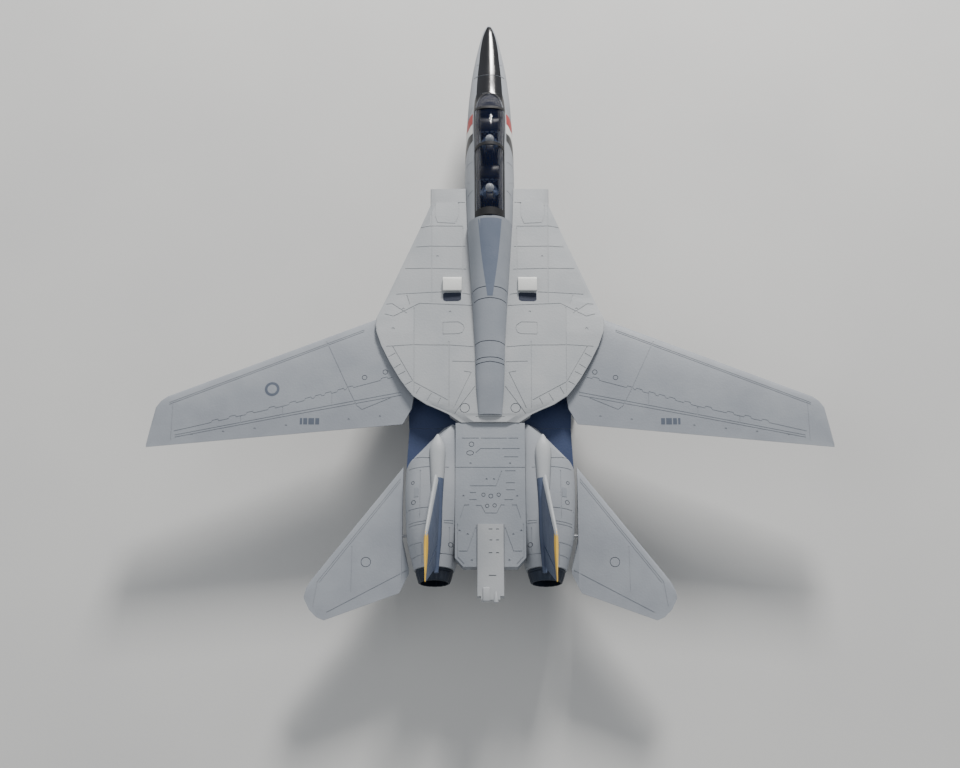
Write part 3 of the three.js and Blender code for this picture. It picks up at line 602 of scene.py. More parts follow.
PANEL = finish_of("panel_dark", (22, 24, 28), (28, 30, 34), rough=(0.35, 0.5), grain=900, beads=False)
DIAL = finish_of("dial_pale", (176, 188, 196), (160, 172, 184), rough=(0.3, 0.45), beads=False, bump=0.00002)
SUIT = finish_of("pilot_suit", (120, 136, 166), (104, 120, 152), rough=(0.6, 0.8), grain=1300, blotch=140,
                 beads=False)
HELMET = finish_of("helmet_white", (232, 236, 240), (222, 228, 234), rough=(0.15, 0.3), beads=False,
                   coat=0.4)
VISOR = finish_of("visor_dark", (20, 24, 32), (30, 34, 44), rough=(0.08, 0.16), beads=False, coat=0.8)
STRAP = finish_of("seat_strap", (120, 112, 92), (104, 98, 82), rough=(0.7, 0.85), grain=2200, beads=False)
PLASTIC = finish_of("black_plastic", (26, 27, 30), (32, 33, 36), rough=(0.35, 0.55), grain=1400, beads=False)
NOZZLE = finish_of("nozzle_dark", (44, 54, 70), (34, 42, 56), rough=(0.35, 0.55), grain=700, beads=False,
                   metal=0.35)
STEEL = finish_of("steel", (176, 178, 182), (160, 163, 168), rough=(0.2, 0.36), grain=2600, beads=False,
                  bump=0.00002, metal=1.0)
MOTOR = finish_of("motor_case", (104, 52, 150), (92, 44, 136), rough=(0.25, 0.4), grain=1500, beads=False,
                  bump=0.00002, metal=0.8)
TYRE = finish_of("tyre", (24, 24, 25), (32, 32, 33), rough=(0.75, 0.92), grain=1700, beads=False,
                 bump=0.00008)
HUB = finish_of("wheel_hub", (206, 208, 210), (194, 197, 200), rough=(0.35, 0.5), grain=1200, beads=False)
WRAP = finish_of("battery_wrap", (38, 66, 122), (32, 56, 108), rough=(0.2, 0.35), grain=260, beads=False,
                 coat=0.3)


def clear_glass(name, tint, alpha):
    """Tinted clear plastic with faint ripple and a hard shine."""
    material, tree, surface = shader(name)
    ripple = link_noise(tree, 60, 2.0)
    colour = mixed(tree, ripple.outputs["Fac"], tint, tuple(c * 0.8 for c in tint))
    tree.links.new(colour, surface.inputs["Base Color"])
    tree.links.new(ranged(tree, ripple.outputs["Fac"], 0.03, 0.09), surface.inputs["Roughness"])
    bumped(tree, surface, ripple.outputs["Fac"], 0.2, 0.00008)
    surface.inputs["Alpha"].default_value = alpha
    surface.inputs["Coat Weight"].default_value = 0.1
    surface.inputs["Specular IOR Level"].default_value = 0.35
    return material


GLASS = clear_glass("canopy_tinted", (18, 28, 60), 0.25)


FLOOR_REACH = 40


def make_floor():
    corners = ((-FLOOR_REACH, -FLOOR_REACH), (FLOOR_REACH, -FLOOR_REACH), (FLOOR_REACH, FLOOR_REACH),
               (-FLOOR_REACH, FLOOR_REACH))
    points = [Vector((x, y, z)) for z in (cad_low.z, cad_low.z - 0.02) for x, y in corners]
    faces = [(0, 1, 2, 3), (7, 6, 5, 4), (0, 4, 5, 1), (1, 5, 6, 2), (2, 6, 7, 3), (3, 7, 4, 0)]
    floor = solid(points, faces, "floor")
    floor.data.materials.append(finish_of("floor_paper", (214, 214, 212), (208, 208, 207), rough=(0.7, 0.85),
                                          grain=300, blotch=3, beads=False))


LIGHT_AIM = Vector((0, 0, 0.08))


def make_light(name, place, size, power, colour=(1, 1, 1)):
    data = bpy.data.lights.new(name, "AREA")
    data.size = size
    data.energy = power
    data.color = colour
    light = linked(name, data)
    light.location = place
    light.rotation_euler = (LIGHT_AIM - Vector(place)).to_track_quat("-Z", "Y").to_euler()


make_floor()
make_light("key", (0.45, 2.4, 1.5), 0.6, 118, colour=(1.0, 0.975, 0.94))
make_light("fill", (-2.0, -0.2, 2.2), 2.2, 14, colour=(0.96, 0.98, 1.0))
make_light("rim", (1.9, -1.2, 1.4), 1.8, 8)
world = bpy.data.worlds.new("studio")
bpy.context.scene.world = world
world.use_nodes = True
world.node_tree.nodes["Background"].inputs["Color"].default_value = (0.93, 0.96, 1.0, 1)
world.node_tree.nodes["Background"].inputs["Strength"].default_value = 0.36


# ---- Front body ----
BODY_HALF = curve([(0, 1.6), (4, 4.4), (10, 7), (30, 12.3), (60, 18.2), (85, 21.8), (115, 24.8), (150, 26.9),
                   (187, 28.3), (235, 29.2), (294, 27.8)])
BODY_WIDEST = curve([(0, -14), (85, -12), (150, -8), (235, -6), (294, -5)])
BODY_TOP = curve([(0, -12.4), (4, -10.6), (10, -8.8), (30, -4.2), (60, 3), (85, 9.5), (115, 18), (150, 26.5),
                  (190, 31), (235, 33.5), (294, 36)])
BODY_BOTTOM = curve([(0, -15.6), (4, -17.4), (10, -19.2), (30, -24.3), (60, -29.5), (85, -33), (115, -36),
                     (150, -38.5), (235, -40), (294, -40)])
HATCH_HALF = curve([(116, 1.5), (119, 7), (124, 11.3), (131, 14.5), (140, 16.4), (150, 17.2), (170, 17),
                    (196, 16.3), (294, 15.8)])
SILL = curve([(116, 17.5), (150, 22.2), (196, 24.5), (294, 27)])
CROWN = curve([(116, 18.5), (119, 20.5), (124, 24), (131, 29), (140, 34.5), (150, 39.5), (165, 44.5),
               (190, 48.5), (220, 50), (260, 48.3), (293, 45)])


def body_section(grow):
    return lambda aft: oval(BODY_HALF(aft) + grow, BODY_WIDEST(aft), BODY_TOP(aft) + grow,
                            BODY_BOTTOM(aft) - grow)


SEAT_EDGE = 19.4


def edge_height(aft):
    """Height of the flank beside the hatch's seat."""
    share = 1 - (SEAT_EDGE / BODY_HALF(aft)) ** BODY_POWER
    return BODY_WIDEST(aft) + (BODY_TOP(aft) - BODY_WIDEST(aft)) * share ** (1 / BODY_POWER) - 0.3


CANOPY_START, CANOPY_END = 116, 293


def dome(grow, sunk, start=CANOPY_START, stop=CANOPY_END):
    def section(aft):
        sill, width = SILL(aft), HATCH_HALF(aft) + grow
        rise = CROWN(aft) + grow - sill
        arch = [(width * math.cos(math.pi * i / 40), sill + rise * math.sin(math.pi * i / 40))
                for i in range(41)]
        return arch + [(-width, sill - sunk), (width, sill - sunk)]

    return loft(spread(start, stop, 4, 119, 121.5, 124, 127.5, 131, 135.5), section)


def well(stations, grow, floor):
    def section(aft):
        width = HATCH_HALF(aft) + grow
        return [(-width, floor(aft)), (width, floor(aft)), (width, 70), (-width, 70)]

    return loft(stations, section)


# Heights with the front and rear ends of each band there
FLANK_BANDS = (("red", RED, [(18, 144, 158.5), (14, 144.6, 160.5), (9, 146, 164), (3, 149, 163),
                             (-6, 153, 164.5), (-14, 156.5, 167), (-20, 158.5, 169)]),
               ("white", WHITE_MARK, [(24, 159, 173), (15, 161, 173.6), (9.6, 164.4, 175), (4, 163.4, 181),
                                      (-6, 165, 187), (-14, 167.5, 191), (-20, 169.5, 194)]),
               ("black", BLACK, [(24, 173.5, 183), (16, 174, 187), (12, 175.4, 190.5), (5, 182, 195.5),
                                 (-6, 188, 200), (-14, 192, 204), (-20, 195, 207)]))


def build_front():
    nose = loft([0, 1, 2.5, 5, 8] + spread(12, RADOME_END, 4), body_section(0))
    nose = engrave(nose, [[(-30, 66), (30, 66)]], width=0.7, depth=0.35)
    piece(nose, "radome", "airframe", [GREY, SEAM], "foam_grey", "nose_cone")

    shell = loft(spread(RADOME_END + GAP, FRONT_END, 5), body_section(0))
    inside = loft(spread(92, 288, 12), body_section(-4))
    seat = well(spread(115.5, 293.6, 6, 119, 124, 131), 1.6, lambda aft: SILL(aft) - GAP)
    opening = well(spread(126, 289, 8, 131, 140), -1.5, lambda aft: -6)
    shell = cut(shell, inside, seat, opening)
    lines = [[(-19.8, 133), (-25, 146)], [(-19.8, 176), (-27, 181)], [(-20, 213), (-27.5, 213)],
             [(-19.6, 252), (-27.8, 256)], [(-22.5, 241), (-27, 235)]]
    shell = engrave(shell, lines, width=0.8, depth=0.4, both=True)
    shell = engrave(shell, [[(-21.6, 86), (21.6, 86)]], width=1, depth=0.6)
    piece(shell, "front_body", "airframe", [GREY, SEAM], "foam_grey", "front_fuselage")

    # Glossy black anti-glare strip from the nose tip to the windscreen
    whole = loft([0, 1, 2.5, 5, 8] + spread(12, 150, 4), body_section(0))
    over = probe_from(whole, "down")
    bpy.data.objects.remove(whole)
    half = curve([(3, 2.2), (12, 5.4), (22, 8), (41, 10.6), (62, 12.2), (84, 14), (112, 15.4), (121, 15.2)])
    first = [((-half(s), s), (half(s), s)) for s in spread(3, 85, 3)]
    second = [((-half(s), s), (half(s), s)) for s in spread(86.6, 115, 3)]
    for name, pairs in (("tip", first), ("rear", second)):
        piece(band(over, pairs, -0.4, 0.22, 10), f"antiglare_strip_{name}", "airframe", GLOSS_BLACK,
              "marking_dark")
    for name, sign in SIDES:
        pairs = []
        for s in spread(115.1, 143, 2):
            inner = max(HATCH_HALF(s) + 1.7, 0.3) if s > 115.6 else 0.3
            outer = max(float(np.interp(s, [115, 125, 143], [15.5, 17.6, 18.9])), inner + 0.2)
            pairs.append(((sign * inner, s), (sign * outer, s)))
        piece(band(over, pairs, -0.4, 0.22, 4), f"antiglare_strip_side_{name}", "airframe", GLOSS_BLACK,
              "marking_dark")

    # Slanting red, white and black bands on each flank
    rear = loft(spread(RADOME_END + GAP, FRONT_END, 5), body_section(0))
    for name, sign in SIDES:
        flank = probe_from(rear, name)
        for label, material, rows in FLANK_BANDS:
            heights, starts, stops = (list(reversed(column)) for column in zip(*rows))
            pairs = []
            for h in reversed(spread(heights[0], heights[-1], 1.5)):
                s0, s1 = float(np.interp(h, heights, starts)), float(np.interp(h, heights, stops))
                pairs.append(((s0, min(h, edge_height(s0))), (s1, min(h, edge_height(s1)))))
            piece(band(flank, pairs, -0.35, 0.16, 8), f"flank_band_{label}_{name}", "airframe", material,
                  "marking_dark")
    bpy.data.objects.remove(rear)


def canopy_frame(region):
    """The part of the canopy's raised frame that lies in a region."""
    return common(cut(dome(1.1, 0), dome(GAP, 6)), region)


def build_hatch():
    glass = cut(dome(0, 0), dome(-1.2, 6, 118, 291.5))
    piece(glass, "canopy_bubble", "hatch", GLASS, "canopy_clear", "canopy_glass")

    def sills(aft):
        sill = SILL(aft)
        return [(-30, sill), (30, sill), (30, sill + 2.4), (-30, sill + 2.4)]

    keep = loft(spread(115, 294, 10), sills)
    rim = canopy_frame(keep)
    for name, outline in (("front", [(137.6, 10), (141.2, 10), (156.8, 60), (153.2, 60)]),
                          ("middle", [(198, 10), (202, 10), (205.5, 60), (201.5, 60)]),
                          ("rear", [(284, 10), (295, 10), (295, 60), (284, 60)])):
        bow = canopy_frame(side_slab(outline, -30, 30))
        piece(bow, f"canopy_bow_{name}", "hatch", FRAME_BLACK, "canopy_black")
    piece(rim, "canopy_rim", "hatch", FRAME_BLACK, "canopy_black", "canopy_frame")

    def tub_ring(inset, floor, lid):
        def section(aft):
            width = HATCH_HALF(aft) - inset
            return [(-width, floor), (width, floor), (width, lid(aft)), (-width, lid(aft))]
        return section

    tub = cut(loft(spread(134.5, 287, 8), tub_ring(3, -4, lambda aft: SILL(aft) - 1)),
              loft(spread(136, 285, 8), tub_ring(4.4, -2.4, lambda aft: 40)))
    piece(tub, "cockpit_tub_shell", "hatch", TUB, "cockpit_dark", "cockpit_tub")

    def shelf(inset, low, high):
        def section(aft):
            width, sill = max(HATCH_HALF(aft) - inset, 0.4), SILL(aft)
            return [(-width, sill + low), (width, sill + low), (width, sill + high), (-width, sill + high)]
        return section

    sill_shelf = cut(loft(spread(119.5, 291, 4, 124, 131), shelf(1.45, 0.1, 0.9)),
                     loft(spread(136.5, 284.5, 8), shelf(4.6, -2, 3)))
    piece(sill_shelf, "cockpit_sill_shelf", "hatch", TUB, "cockpit_dark")
    for place, aft in (("front", 158), ("rear", 222)):
        hood = side_slab([(aft, -3), (aft + 7, -3), (aft + 10, 19), (aft + 8.6, 22.3), (aft + 4, 23.6),
                          (aft - 2, 23.2), (aft - 6, 21)], -11.8, 11.8)
        piece(bevelled(hood, 0.9), f"{place}_panel_hood", "hatch", PANEL, "cockpit_dark")
        dials = []
        for x, h, r in ((-8, 14, 2), (-3, 15, 2.2), (3, 15, 2.2), (8, 14, 2), (-5.5, 8.6, 1.7), (0, 9, 1.8),
                        (5.5, 8.6, 1.7)):
            face = aft + 7 + 3 * (h + 3) / 22
            dials.append(bar(at(x, face - 0.3, h), at(x, face + 0.5, h), r, 20))
        piece(together(*dials), f"{place}_panel_dials", "hatch", DIAL, "cockpit_dark")
        stick = join(bar(at(0, aft + 22, -2), at(0, aft + 20, 11), 0.8, 12),
                     ball(at(0, aft + 19.8, 11.5), (1.3, 1.3, 1.8), 8))
        piece(stick, f"{place}_stick", "hatch", PLASTIC, "black_plastic")
    for x in (-11.4, 11.4):
        name = "right" if x > 0 else "left"
        console = block(x - 0.9, x + 0.9, 168, 216, 12, 17, 0.5)
        piece(together(console, block(x - 0.9, x + 0.9, 233, 280, 12, 18, 0.5)), f"side_console_{name}",
              "hatch", DIAL, "cockpit_dark")

    for place, aft in (("front", 199), ("rear", 263)):
        back = side_slab([(aft, -2), (aft + 5, -2), (aft + 9, 36), (aft + 4, 37)], -6, 6)
        cushion = block(-7, 7, aft - 17, aft + 3, -2, 4)
        head = block(-4.5, 4.5, aft + 1, aft + 9, 33, 41)
        piece(together(bevelled(back, 1.2), bevelled(cushion, 1.4), bevelled(head, 1.3)),
              f"{place}_ejector_seat", "hatch", PLASTIC, "black_plastic", f"{place}_seat")
        rails = [side_slab([(aft + 5.5, -2), (aft + 6.9, -2), (aft + 10.4, 37), (aft + 9, 37)], x - 0.6,
                           x + 0.6) for x in (-3.4, 3.4)]
        piece(together(*rails), f"{place}_seat_rails", "hatch", STEEL, "steel")

        def torso(where):
            share = math.sin(math.pi * min(max((where - aft + 15) / 16, 0.02), 0.98))
            return oval(3.4 + 5.4 * share, 20, 23.5 + 8.6 * share, 5.8, power=2.5, count=36)

        body = loft(spread(aft - 14, aft - 1, 1.2), torso)
        arms = [tube([at(s * 7.6, aft - 6, 27), at(s * 9.4, aft - 8, 20), at(s * 8.6, aft - 16, 13.5),
                      at(s * 4.6, aft - 24, 12.5)], 2.1) for s in (-1, 1)]
        neck = bar(at(0, aft - 8, 26), at(0, aft - 8, 36), 2.6, 24)
        piece(together(body, neck, *arms), f"{place}_pilot_torso", "hatch", SUIT, "pilot_white",
              f"{place}_pilot")
        dome_of_head = ball(at(0, aft - 8.5, 36.5), (5.2, 5.4, 5.4), 16)
        piece(dome_of_head, f"{place}_pilot_helmet", "hatch", HELMET, "pilot_white")
        visor = common(ball(at(0, aft - 9.1, 36.3), (5.0, 5.3, 5.1), 16),
                       block(-7, 7, aft - 16, aft - 11.2, 33.4, 38.6))
        piece(visor, f"{place}_pilot_visor", "hatch", VISOR, "canopy_black")
        mask = bevelled(block(-1.9, 1.9, aft - 15.4, aft - 11, 30.6, 34.2), 0.8)
        piece(mask, f"{place}_pilot_mask", "hatch", PLASTIC, "black_plastic")
        straps = [tube([at(s * 3.4, aft + 1, 33.4), at(s * 3.6, aft - 4, 33.2), at(s * 3.2, aft - 10, 30.8),
                        at(s * 2.2, aft - 13.5, 22)], 0.55, 8) for s in (-1, 1)]
        piece(together(*straps), f"{place}_seat_straps", "hatch", STRAP, "cockpit_dark")


# ---- Wing plan and the bay it sweeps ----
LEADING = ramp([(60, 375.9), (358.7, 497), (366, 502.5), (371, 510), (375, 532), (HALF_SPAN, 553)])
TRAILING = ramp([(60, 526.5), (HALF_SPAN, 556.5)])
ROOT_RADIUS = 30.7
ROOT_CORNER, TRAILING_CORNER = (87, 512), (97, 530.3)
BAY_FLOOR, BAY_ROOF, BAY_SPARE = -11.5, 7.5, 1.8


def arc(centre, radius, start, stop, steps):
    angles = [math.radians(start + (stop - start) * i / steps) for i in range(steps + 1)]
    return [(centre[0] + radius * math.cos(a), centre[1] + radius * math.sin(a)) for a in angles]


def folded(point, degrees):
    a = math.radians(degrees)
    dx, da = point[0] - PIVOT[0], point[1] - PIVOT[1]
    return (PIVOT[0] + dx * math.cos(a) - da * math.sin(a), PIVOT[1] + dx * math.sin(a) + da * math.cos(a))


def bay_solid():
    corner, root = folded(TRAILING_CORNER, SWEEP), folded(ROOT_CORNER, SWEEP)
    tip = folded((HALF_SPAN, 556.5), SWEEP)
    front = LEADING(140) - BAY_SPARE - 0.2
    outline = [(140, front)] + arc(PIVOT, ROOT_RADIUS + BAY_SPARE, -68, -137, 24)
    outline += [(root[0] - BAY_SPARE, root[1] - BAY_SPARE), (corner[0] - BAY_SPARE, corner[1]),
                (corner[0] - BAY_SPARE / 2, corner[1] + 2 * BAY_SPARE), (tip[0], tip[1] + 2 * BAY_SPARE),
                (tip[0] + 100, tip[1]), (tip[0] + 100, front)]
    return plate(outline, BAY_FLOOR - GAP, BAY_ROOF)


def bays():
    right = bay_solid()
    return right, mirrored(right)


# ---- Upper shell: glove, overwing fairing and intake roofs ----
SHELL_HALF = ramp([(241, 69), (260, 69), (405, 129), (415, 129.2), (424, 127.4), (440, 121.8), (460, 112),
                   (480, 100.5), (492, 92), (500, 85.5), (510, 70.6), (516, 57), (521, 46.5), (531, 32)])
SHELL_TOP = curve([(241, 9), (300, 12.5), (400, 13.5), (480, 13), (531, 11)])
SHELL_UNDER = ramp([(241, 6.5), (294, -11.5), (531, -11.5)])
SHELL_EDGE = ramp([(241, .4), (376, .4), (424, .9), (531, .9)])
SPINE_HALF = curve([(294, 26), (357, 22), (440, 17), (489, 15.5), (523, 13)])
SPINE_TOP = curve([(294, 45), (357, 35), (440, 25), (489, 20), (523, 15)])


def shell_section(aft):
    w, top, under, edge = SHELL_HALF(aft), SHELL_TOP(aft), SHELL_UNDER(aft), SHELL_EDGE(aft)
    depth = top - under
    flat, shoulder = min(31, w - 14), min(69, w - 7)
    right = [(flat, under), (shoulder, under), (w - 4, under + depth * edge * .15),
             (w - 1, under + depth * edge * .6), (w, under + depth * edge),
             (w - 1, under + depth * (edge * .45 + .5)), (w - 4, under + depth * (edge * .3 + .63)),
             (shoulder, top - depth * .08), (flat, top)]
    return right + [(-x, h) for x, h in reversed(right)]


def build_shell():
    shell = loft(spread(INTAKE_MOUTH, FAIRING_END, 4, 250, 260, 300, 405, 415, 424, 440, 460, 480, 492, 500,
                        510, 516, 521), shell_section)
    notch = loft(spread(200, FRONT_END + GAP, 10), body_section(GAP))
    shell = cut(shell, notch, *bays(), block(-100, 100, 402, 430, BAY_FLOOR - 1, -8.3),
                block(-36, 36, 403, 433, BAY_FLOOR - 1, -6.4))
    lines = [[(-80.5, 290), (-31, 291.5)], [(-85, 316), (-28, 318)], [(-97, 343.5), (-27, 347)],
             [(-106.5, 376), (-54.5, 375)], [(-31.5, 377), (-22.5, 378.5)], [(-80, 388.5), (-20.5, 392.5)],
             [(-80, 388.5), (-109, 404), (-119, 401)], [(-117.5, 388.5), (-111, 388), (-94, 400.5)],
             [(-94.5, 377.5), (-91, 389.4)], [(-67.5, 262), (-66, 387.8)], [(-31, 293.5), (-31, 352)],
             [(-86, 393.5), (-84.5, 497)], [(-46, 435.5), (-45.5, 515)],
             [(-53, 427), (-53, 412.5), (-35.5, 412.5), (-30.5, 416), (-29, 420.5), (-30.5, 425), (-35, 427),
              (-53, 427)], [(-116, 441.3), (-86, 439.5), (-46, 440.5), (-18.5, 443)],
             [(-42, 460), (-17.5, 461)], [(-109, 441.5), (-85.4, 483.5), (-47, 505.5)],
             [(-29, 472), (-21, 473.5), (-40, 515)], [(-16.8, 490), (-39, 521)],
             [(-63.5, 262), (-63.5, 277.5), (-60.5, 286), (-39.5, 287.5), (-36, 278), (-36, 260)],
             [(-37, 259.5), (-29, 259.5)], [(-16, 525), (16, 525)]]
    for a, b in (((-106, 449.5), (-113.5, 454)), ((-99.5, 462.5), (-107, 467.5)),
                 ((-94.5, 471.5), (-102, 475.5)), ((-87, 483), (-94, 487)), ((-77.5, 490), (-82, 498)),
                 ((-65, 497.5), (-70, 506)), ((-54.5, 503), (-58, 510))):
        lines.append([a, b])
    shell = engrave(shell, lines, width=0.85, depth=0.5, both=True)
    shell = engrave(shell, [], width=0.7, depth=0.4, loops=[ring_line((-28, 515), 5.2)], both=True)
    over = probe_from(shell, "down")
    for x, aft, r in ((-109, 420, 1.8), (-98, 395, 1.4), (-60, 330, 1.4), (-45, 400, 1.4)):
        for sign in (1, -1):
            shell = cut(shell, disc(over, (sign * x, aft), r, -0.5, 1.0))
    piece(shell, "wing_glove_shell", "airframe", [LIT_PALE_GREY, SEAM], "foam_grey", "upper_shell", angle=24)

    def spine_section(aft):
        base = SHELL_TOP(aft) + GAP
        rise = SPINE_TOP(aft) - base
        made = []
        for i in range(49):
            a = math.pi * i / 48
            across = math.copysign(abs(math.cos(a)) ** 0.85, math.cos(a))
            made.append((SPINE_HALF(aft) * across, base + rise * math.sin(a)))
        return made

    spine = loft(spread(FRONT_END + GAP, 523, 4), spine_section)
    top = probe_from(spine, "down")
    arches = [[(-25, 381), (-14, 377.8), (0, 376.6), (14, 377.8), (25, 381)],
              [(-24, 395), (-13, 391.4), (0, 390.2), (13, 391.4), (24, 395)],
              [(-22, 443.6), (-10, 440.6), (0, 440), (10, 440.6), (22, 443.6)],
              [(-20, 461.8), (-9, 459.4), (0, 459), (9, 459.4), (20, 461.8)],
              [(-16, 466), (0, 464), (16, 466)]]
    spine = engrave(spine, arches, width=0.9, depth=0.5)
    piece(spine, "dorsal_spine", "airframe", [SHADED_SPINE_GREY, SEAM], "foam_grey", "spine_cover")
    # Painted shade along the spine's front centre, tapering aft.
    shade_half = curve([(297, 13.5), (340, 9.5), (388, 3)])
    pairs = [((-shade_half(s), s), (shade_half(s), s)) for s in spread(297, 388, 3)]
    piece(band(top, pairs, -0.35, 0.1, 8), "dorsal_painted_shade", "airframe", SPINE_SHADE_DARK, "marking_dark")

    for name, sign in SIDES:
        high = SHELL_TOP(366) + 4
        base = SHELL_TOP(360) + GAP
        ramp_block = side_slab([(357.4, base), (375.1, base), (375.1, high), (360.2, high),
                                (357.4, high - 2.6)], sign * 32, sign * 53.5)
        vent = bevelled(ramp_block, 0.6)
        # The vent block's white is painted light on its lit faces.
        piece(vent, f"bleed_vent_{name}", "airframe", VENT_LIT_WHITE, "foam_pale", f"vent_block_{name}")
        # Painted shadow behind each vent block, laid flat on the shell.
        rows = [(376.2, 34.2, 51.4), (377.4, 32.6, 53), (384.4, 32.6, 53), (385.8, 33.4, 52.2),
                (386.8, 36, 49.6)]
        pairs = [((sign * a, s), (sign * b, s)) for s, a, b in rows]
        piece(band(over, pairs, -0.3, 0.14, 6), f"vent_painted_shadow_{name}", "airframe", VENT_SHADOW_PAINT, "marking_dark")


INTAKE_OUTER = ramp([(241, 69), (300, 69), (420, 88), (531, 89.5)])
INTAKE_TOP = ramp([(241, 6.2), (294, -11.8), (299, -11.8), (300.5, -16.1), (531, -16.1)])


def intake_ring(inset):
    def section(aft):
        outer, inner = INTAKE_OUTER(aft) - inset, 31 + inset
        top, bottom = INTAKE_TOP(aft) - inset, -45 + inset
        return oval((outer - inner) / 2, (top + bottom) / 2, top, bottom, (inner + outer) / 2, 7, 64)

    return section


def build_intakes():
    for name, sign in SIDES:
        outside = loft(spread(INTAKE_MOUTH, FAIRING_END - GAP, 12, 294, 299, 300.5, 420), intake_ring(0))
        inside = loft(spread(230, 540, 12, 241, 294, 299, 300.5, 420), intake_ring(2))
        rake = side_slab([(225, 20), (242.5, 20), (241.3, 5), (262, -50), (225, -50)], 20, 80)
        duct = cut(outside, inside, rake)
        ramp_line = probe_from(duct, "right")
        groove = [line(ramp_line, [(s, -40), (s, -14 if s > 300 else -6)], 0.8, -0.4)
                  for s in (290, 356, 428, 496)]
        groove += [line(ramp_line, [(272, -31), (528, -31)], 0.8, -0.4)]
        duct = on_side(grooved(duct, groove), sign)
        piece(duct, f"intake_trunk_{name}", "airframe", [GREY, SEAM], "foam_grey", f"intake_duct_{name}")


# ---- Nacelles, nozzles and fans ----
ENGINE_X, ENGINE_H, FAN_RADIUS = 60.3, -16, 24.4
SHAFT_AFT, SHAFT_H = 652, -20
FOOT_X = 57.5
FAN_BLADES, BLADE_ROOT, BLADE_TIP, BLADE_STEPS = 6, 7.6, 20.4, 8
BLADE_SECTION = ((-.5, 0), (-.3, .34), (0, .5), (.3, .36), (.5, 0), (.3, -.3), (0, -.42), (-.3, -.28))
NOZZLE_PETALS = 14
NAC_INNER = curve([(531, 31), (560, 29.8), (660, 30.5), (692, 38.3)])
NAC_OUTER = curve([(531, 89.8), (598, 92.8), (625, 92.3), (660, 90), (684, 84.3), (692, 82.3)])
NAC_TOP = curve([(531, 5), (542, 7.5), (556, 9.5), (580, 11), (640, 12), (692, 8)])
NAC_BOTTOM = curve([(531, -45), (600, -46.5), (660, -44), (692, -38)])
FOOT_HALF = curve([(545, .8), (552, 5), (562, 8.5), (580, 8), (620, 6), (660, 5), (700, 2.4)])
FOOT_TOP = curve([(545, 10.5), (552, 14), (562, 16.5), (590, 17.5), (640, 16.5), (700, 12)])
FOOT_BOTTOM = ramp([(545, 9.3), (620, 9.3), (645, 6.5), (690, 6.5), (700, 7.5)])


def nacelle_ring(aft):
    inner, outer = NAC_INNER(aft), NAC_OUTER(aft)
    power = 2.8 if aft < 600 else 2.8 - (aft - 600) / 92 * 0.8
    return oval((outer - inner) / 2, ENGINE_H, NAC_TOP(aft), NAC_BOTTOM(aft), (inner + outer) / 2, power, 80)


def passage_ring(aft):
    square = min(max((585 - aft) / 21, 0), 1)
    radius = ramp([(585, FAN_RADIUS), (616, FAN_RADIUS), (634, 18.6), (692, 17)])(aft)

    def mix(boxy, round_one):
        return boxy * square + round_one * (1 - square)

    return oval(mix(27.2, radius), mix(-30.5, ENGINE_H), mix(-18.1, ENGINE_H + radius),
                mix(-43, ENGINE_H - radius), mix(60.2, ENGINE_X), mix(7, 2), 64)


def deck_outline(grow):
    right = [(38 + grow, FAIRING_END + GAP), (38 + grow, 683), (29 + grow, NACELLE_END + 1 + grow)]
    return right + [(-x, aft) for x, aft in reversed(right)]


def fin_foot(grow):
    return loft(spread(545 - grow, 700 + grow, 4),
                lambda aft: oval(FOOT_HALF(aft) + grow, 10, FOOT_TOP(aft) + grow, FOOT_BOTTOM(aft) - grow,
                                 FOOT_X, 2.4, 36))


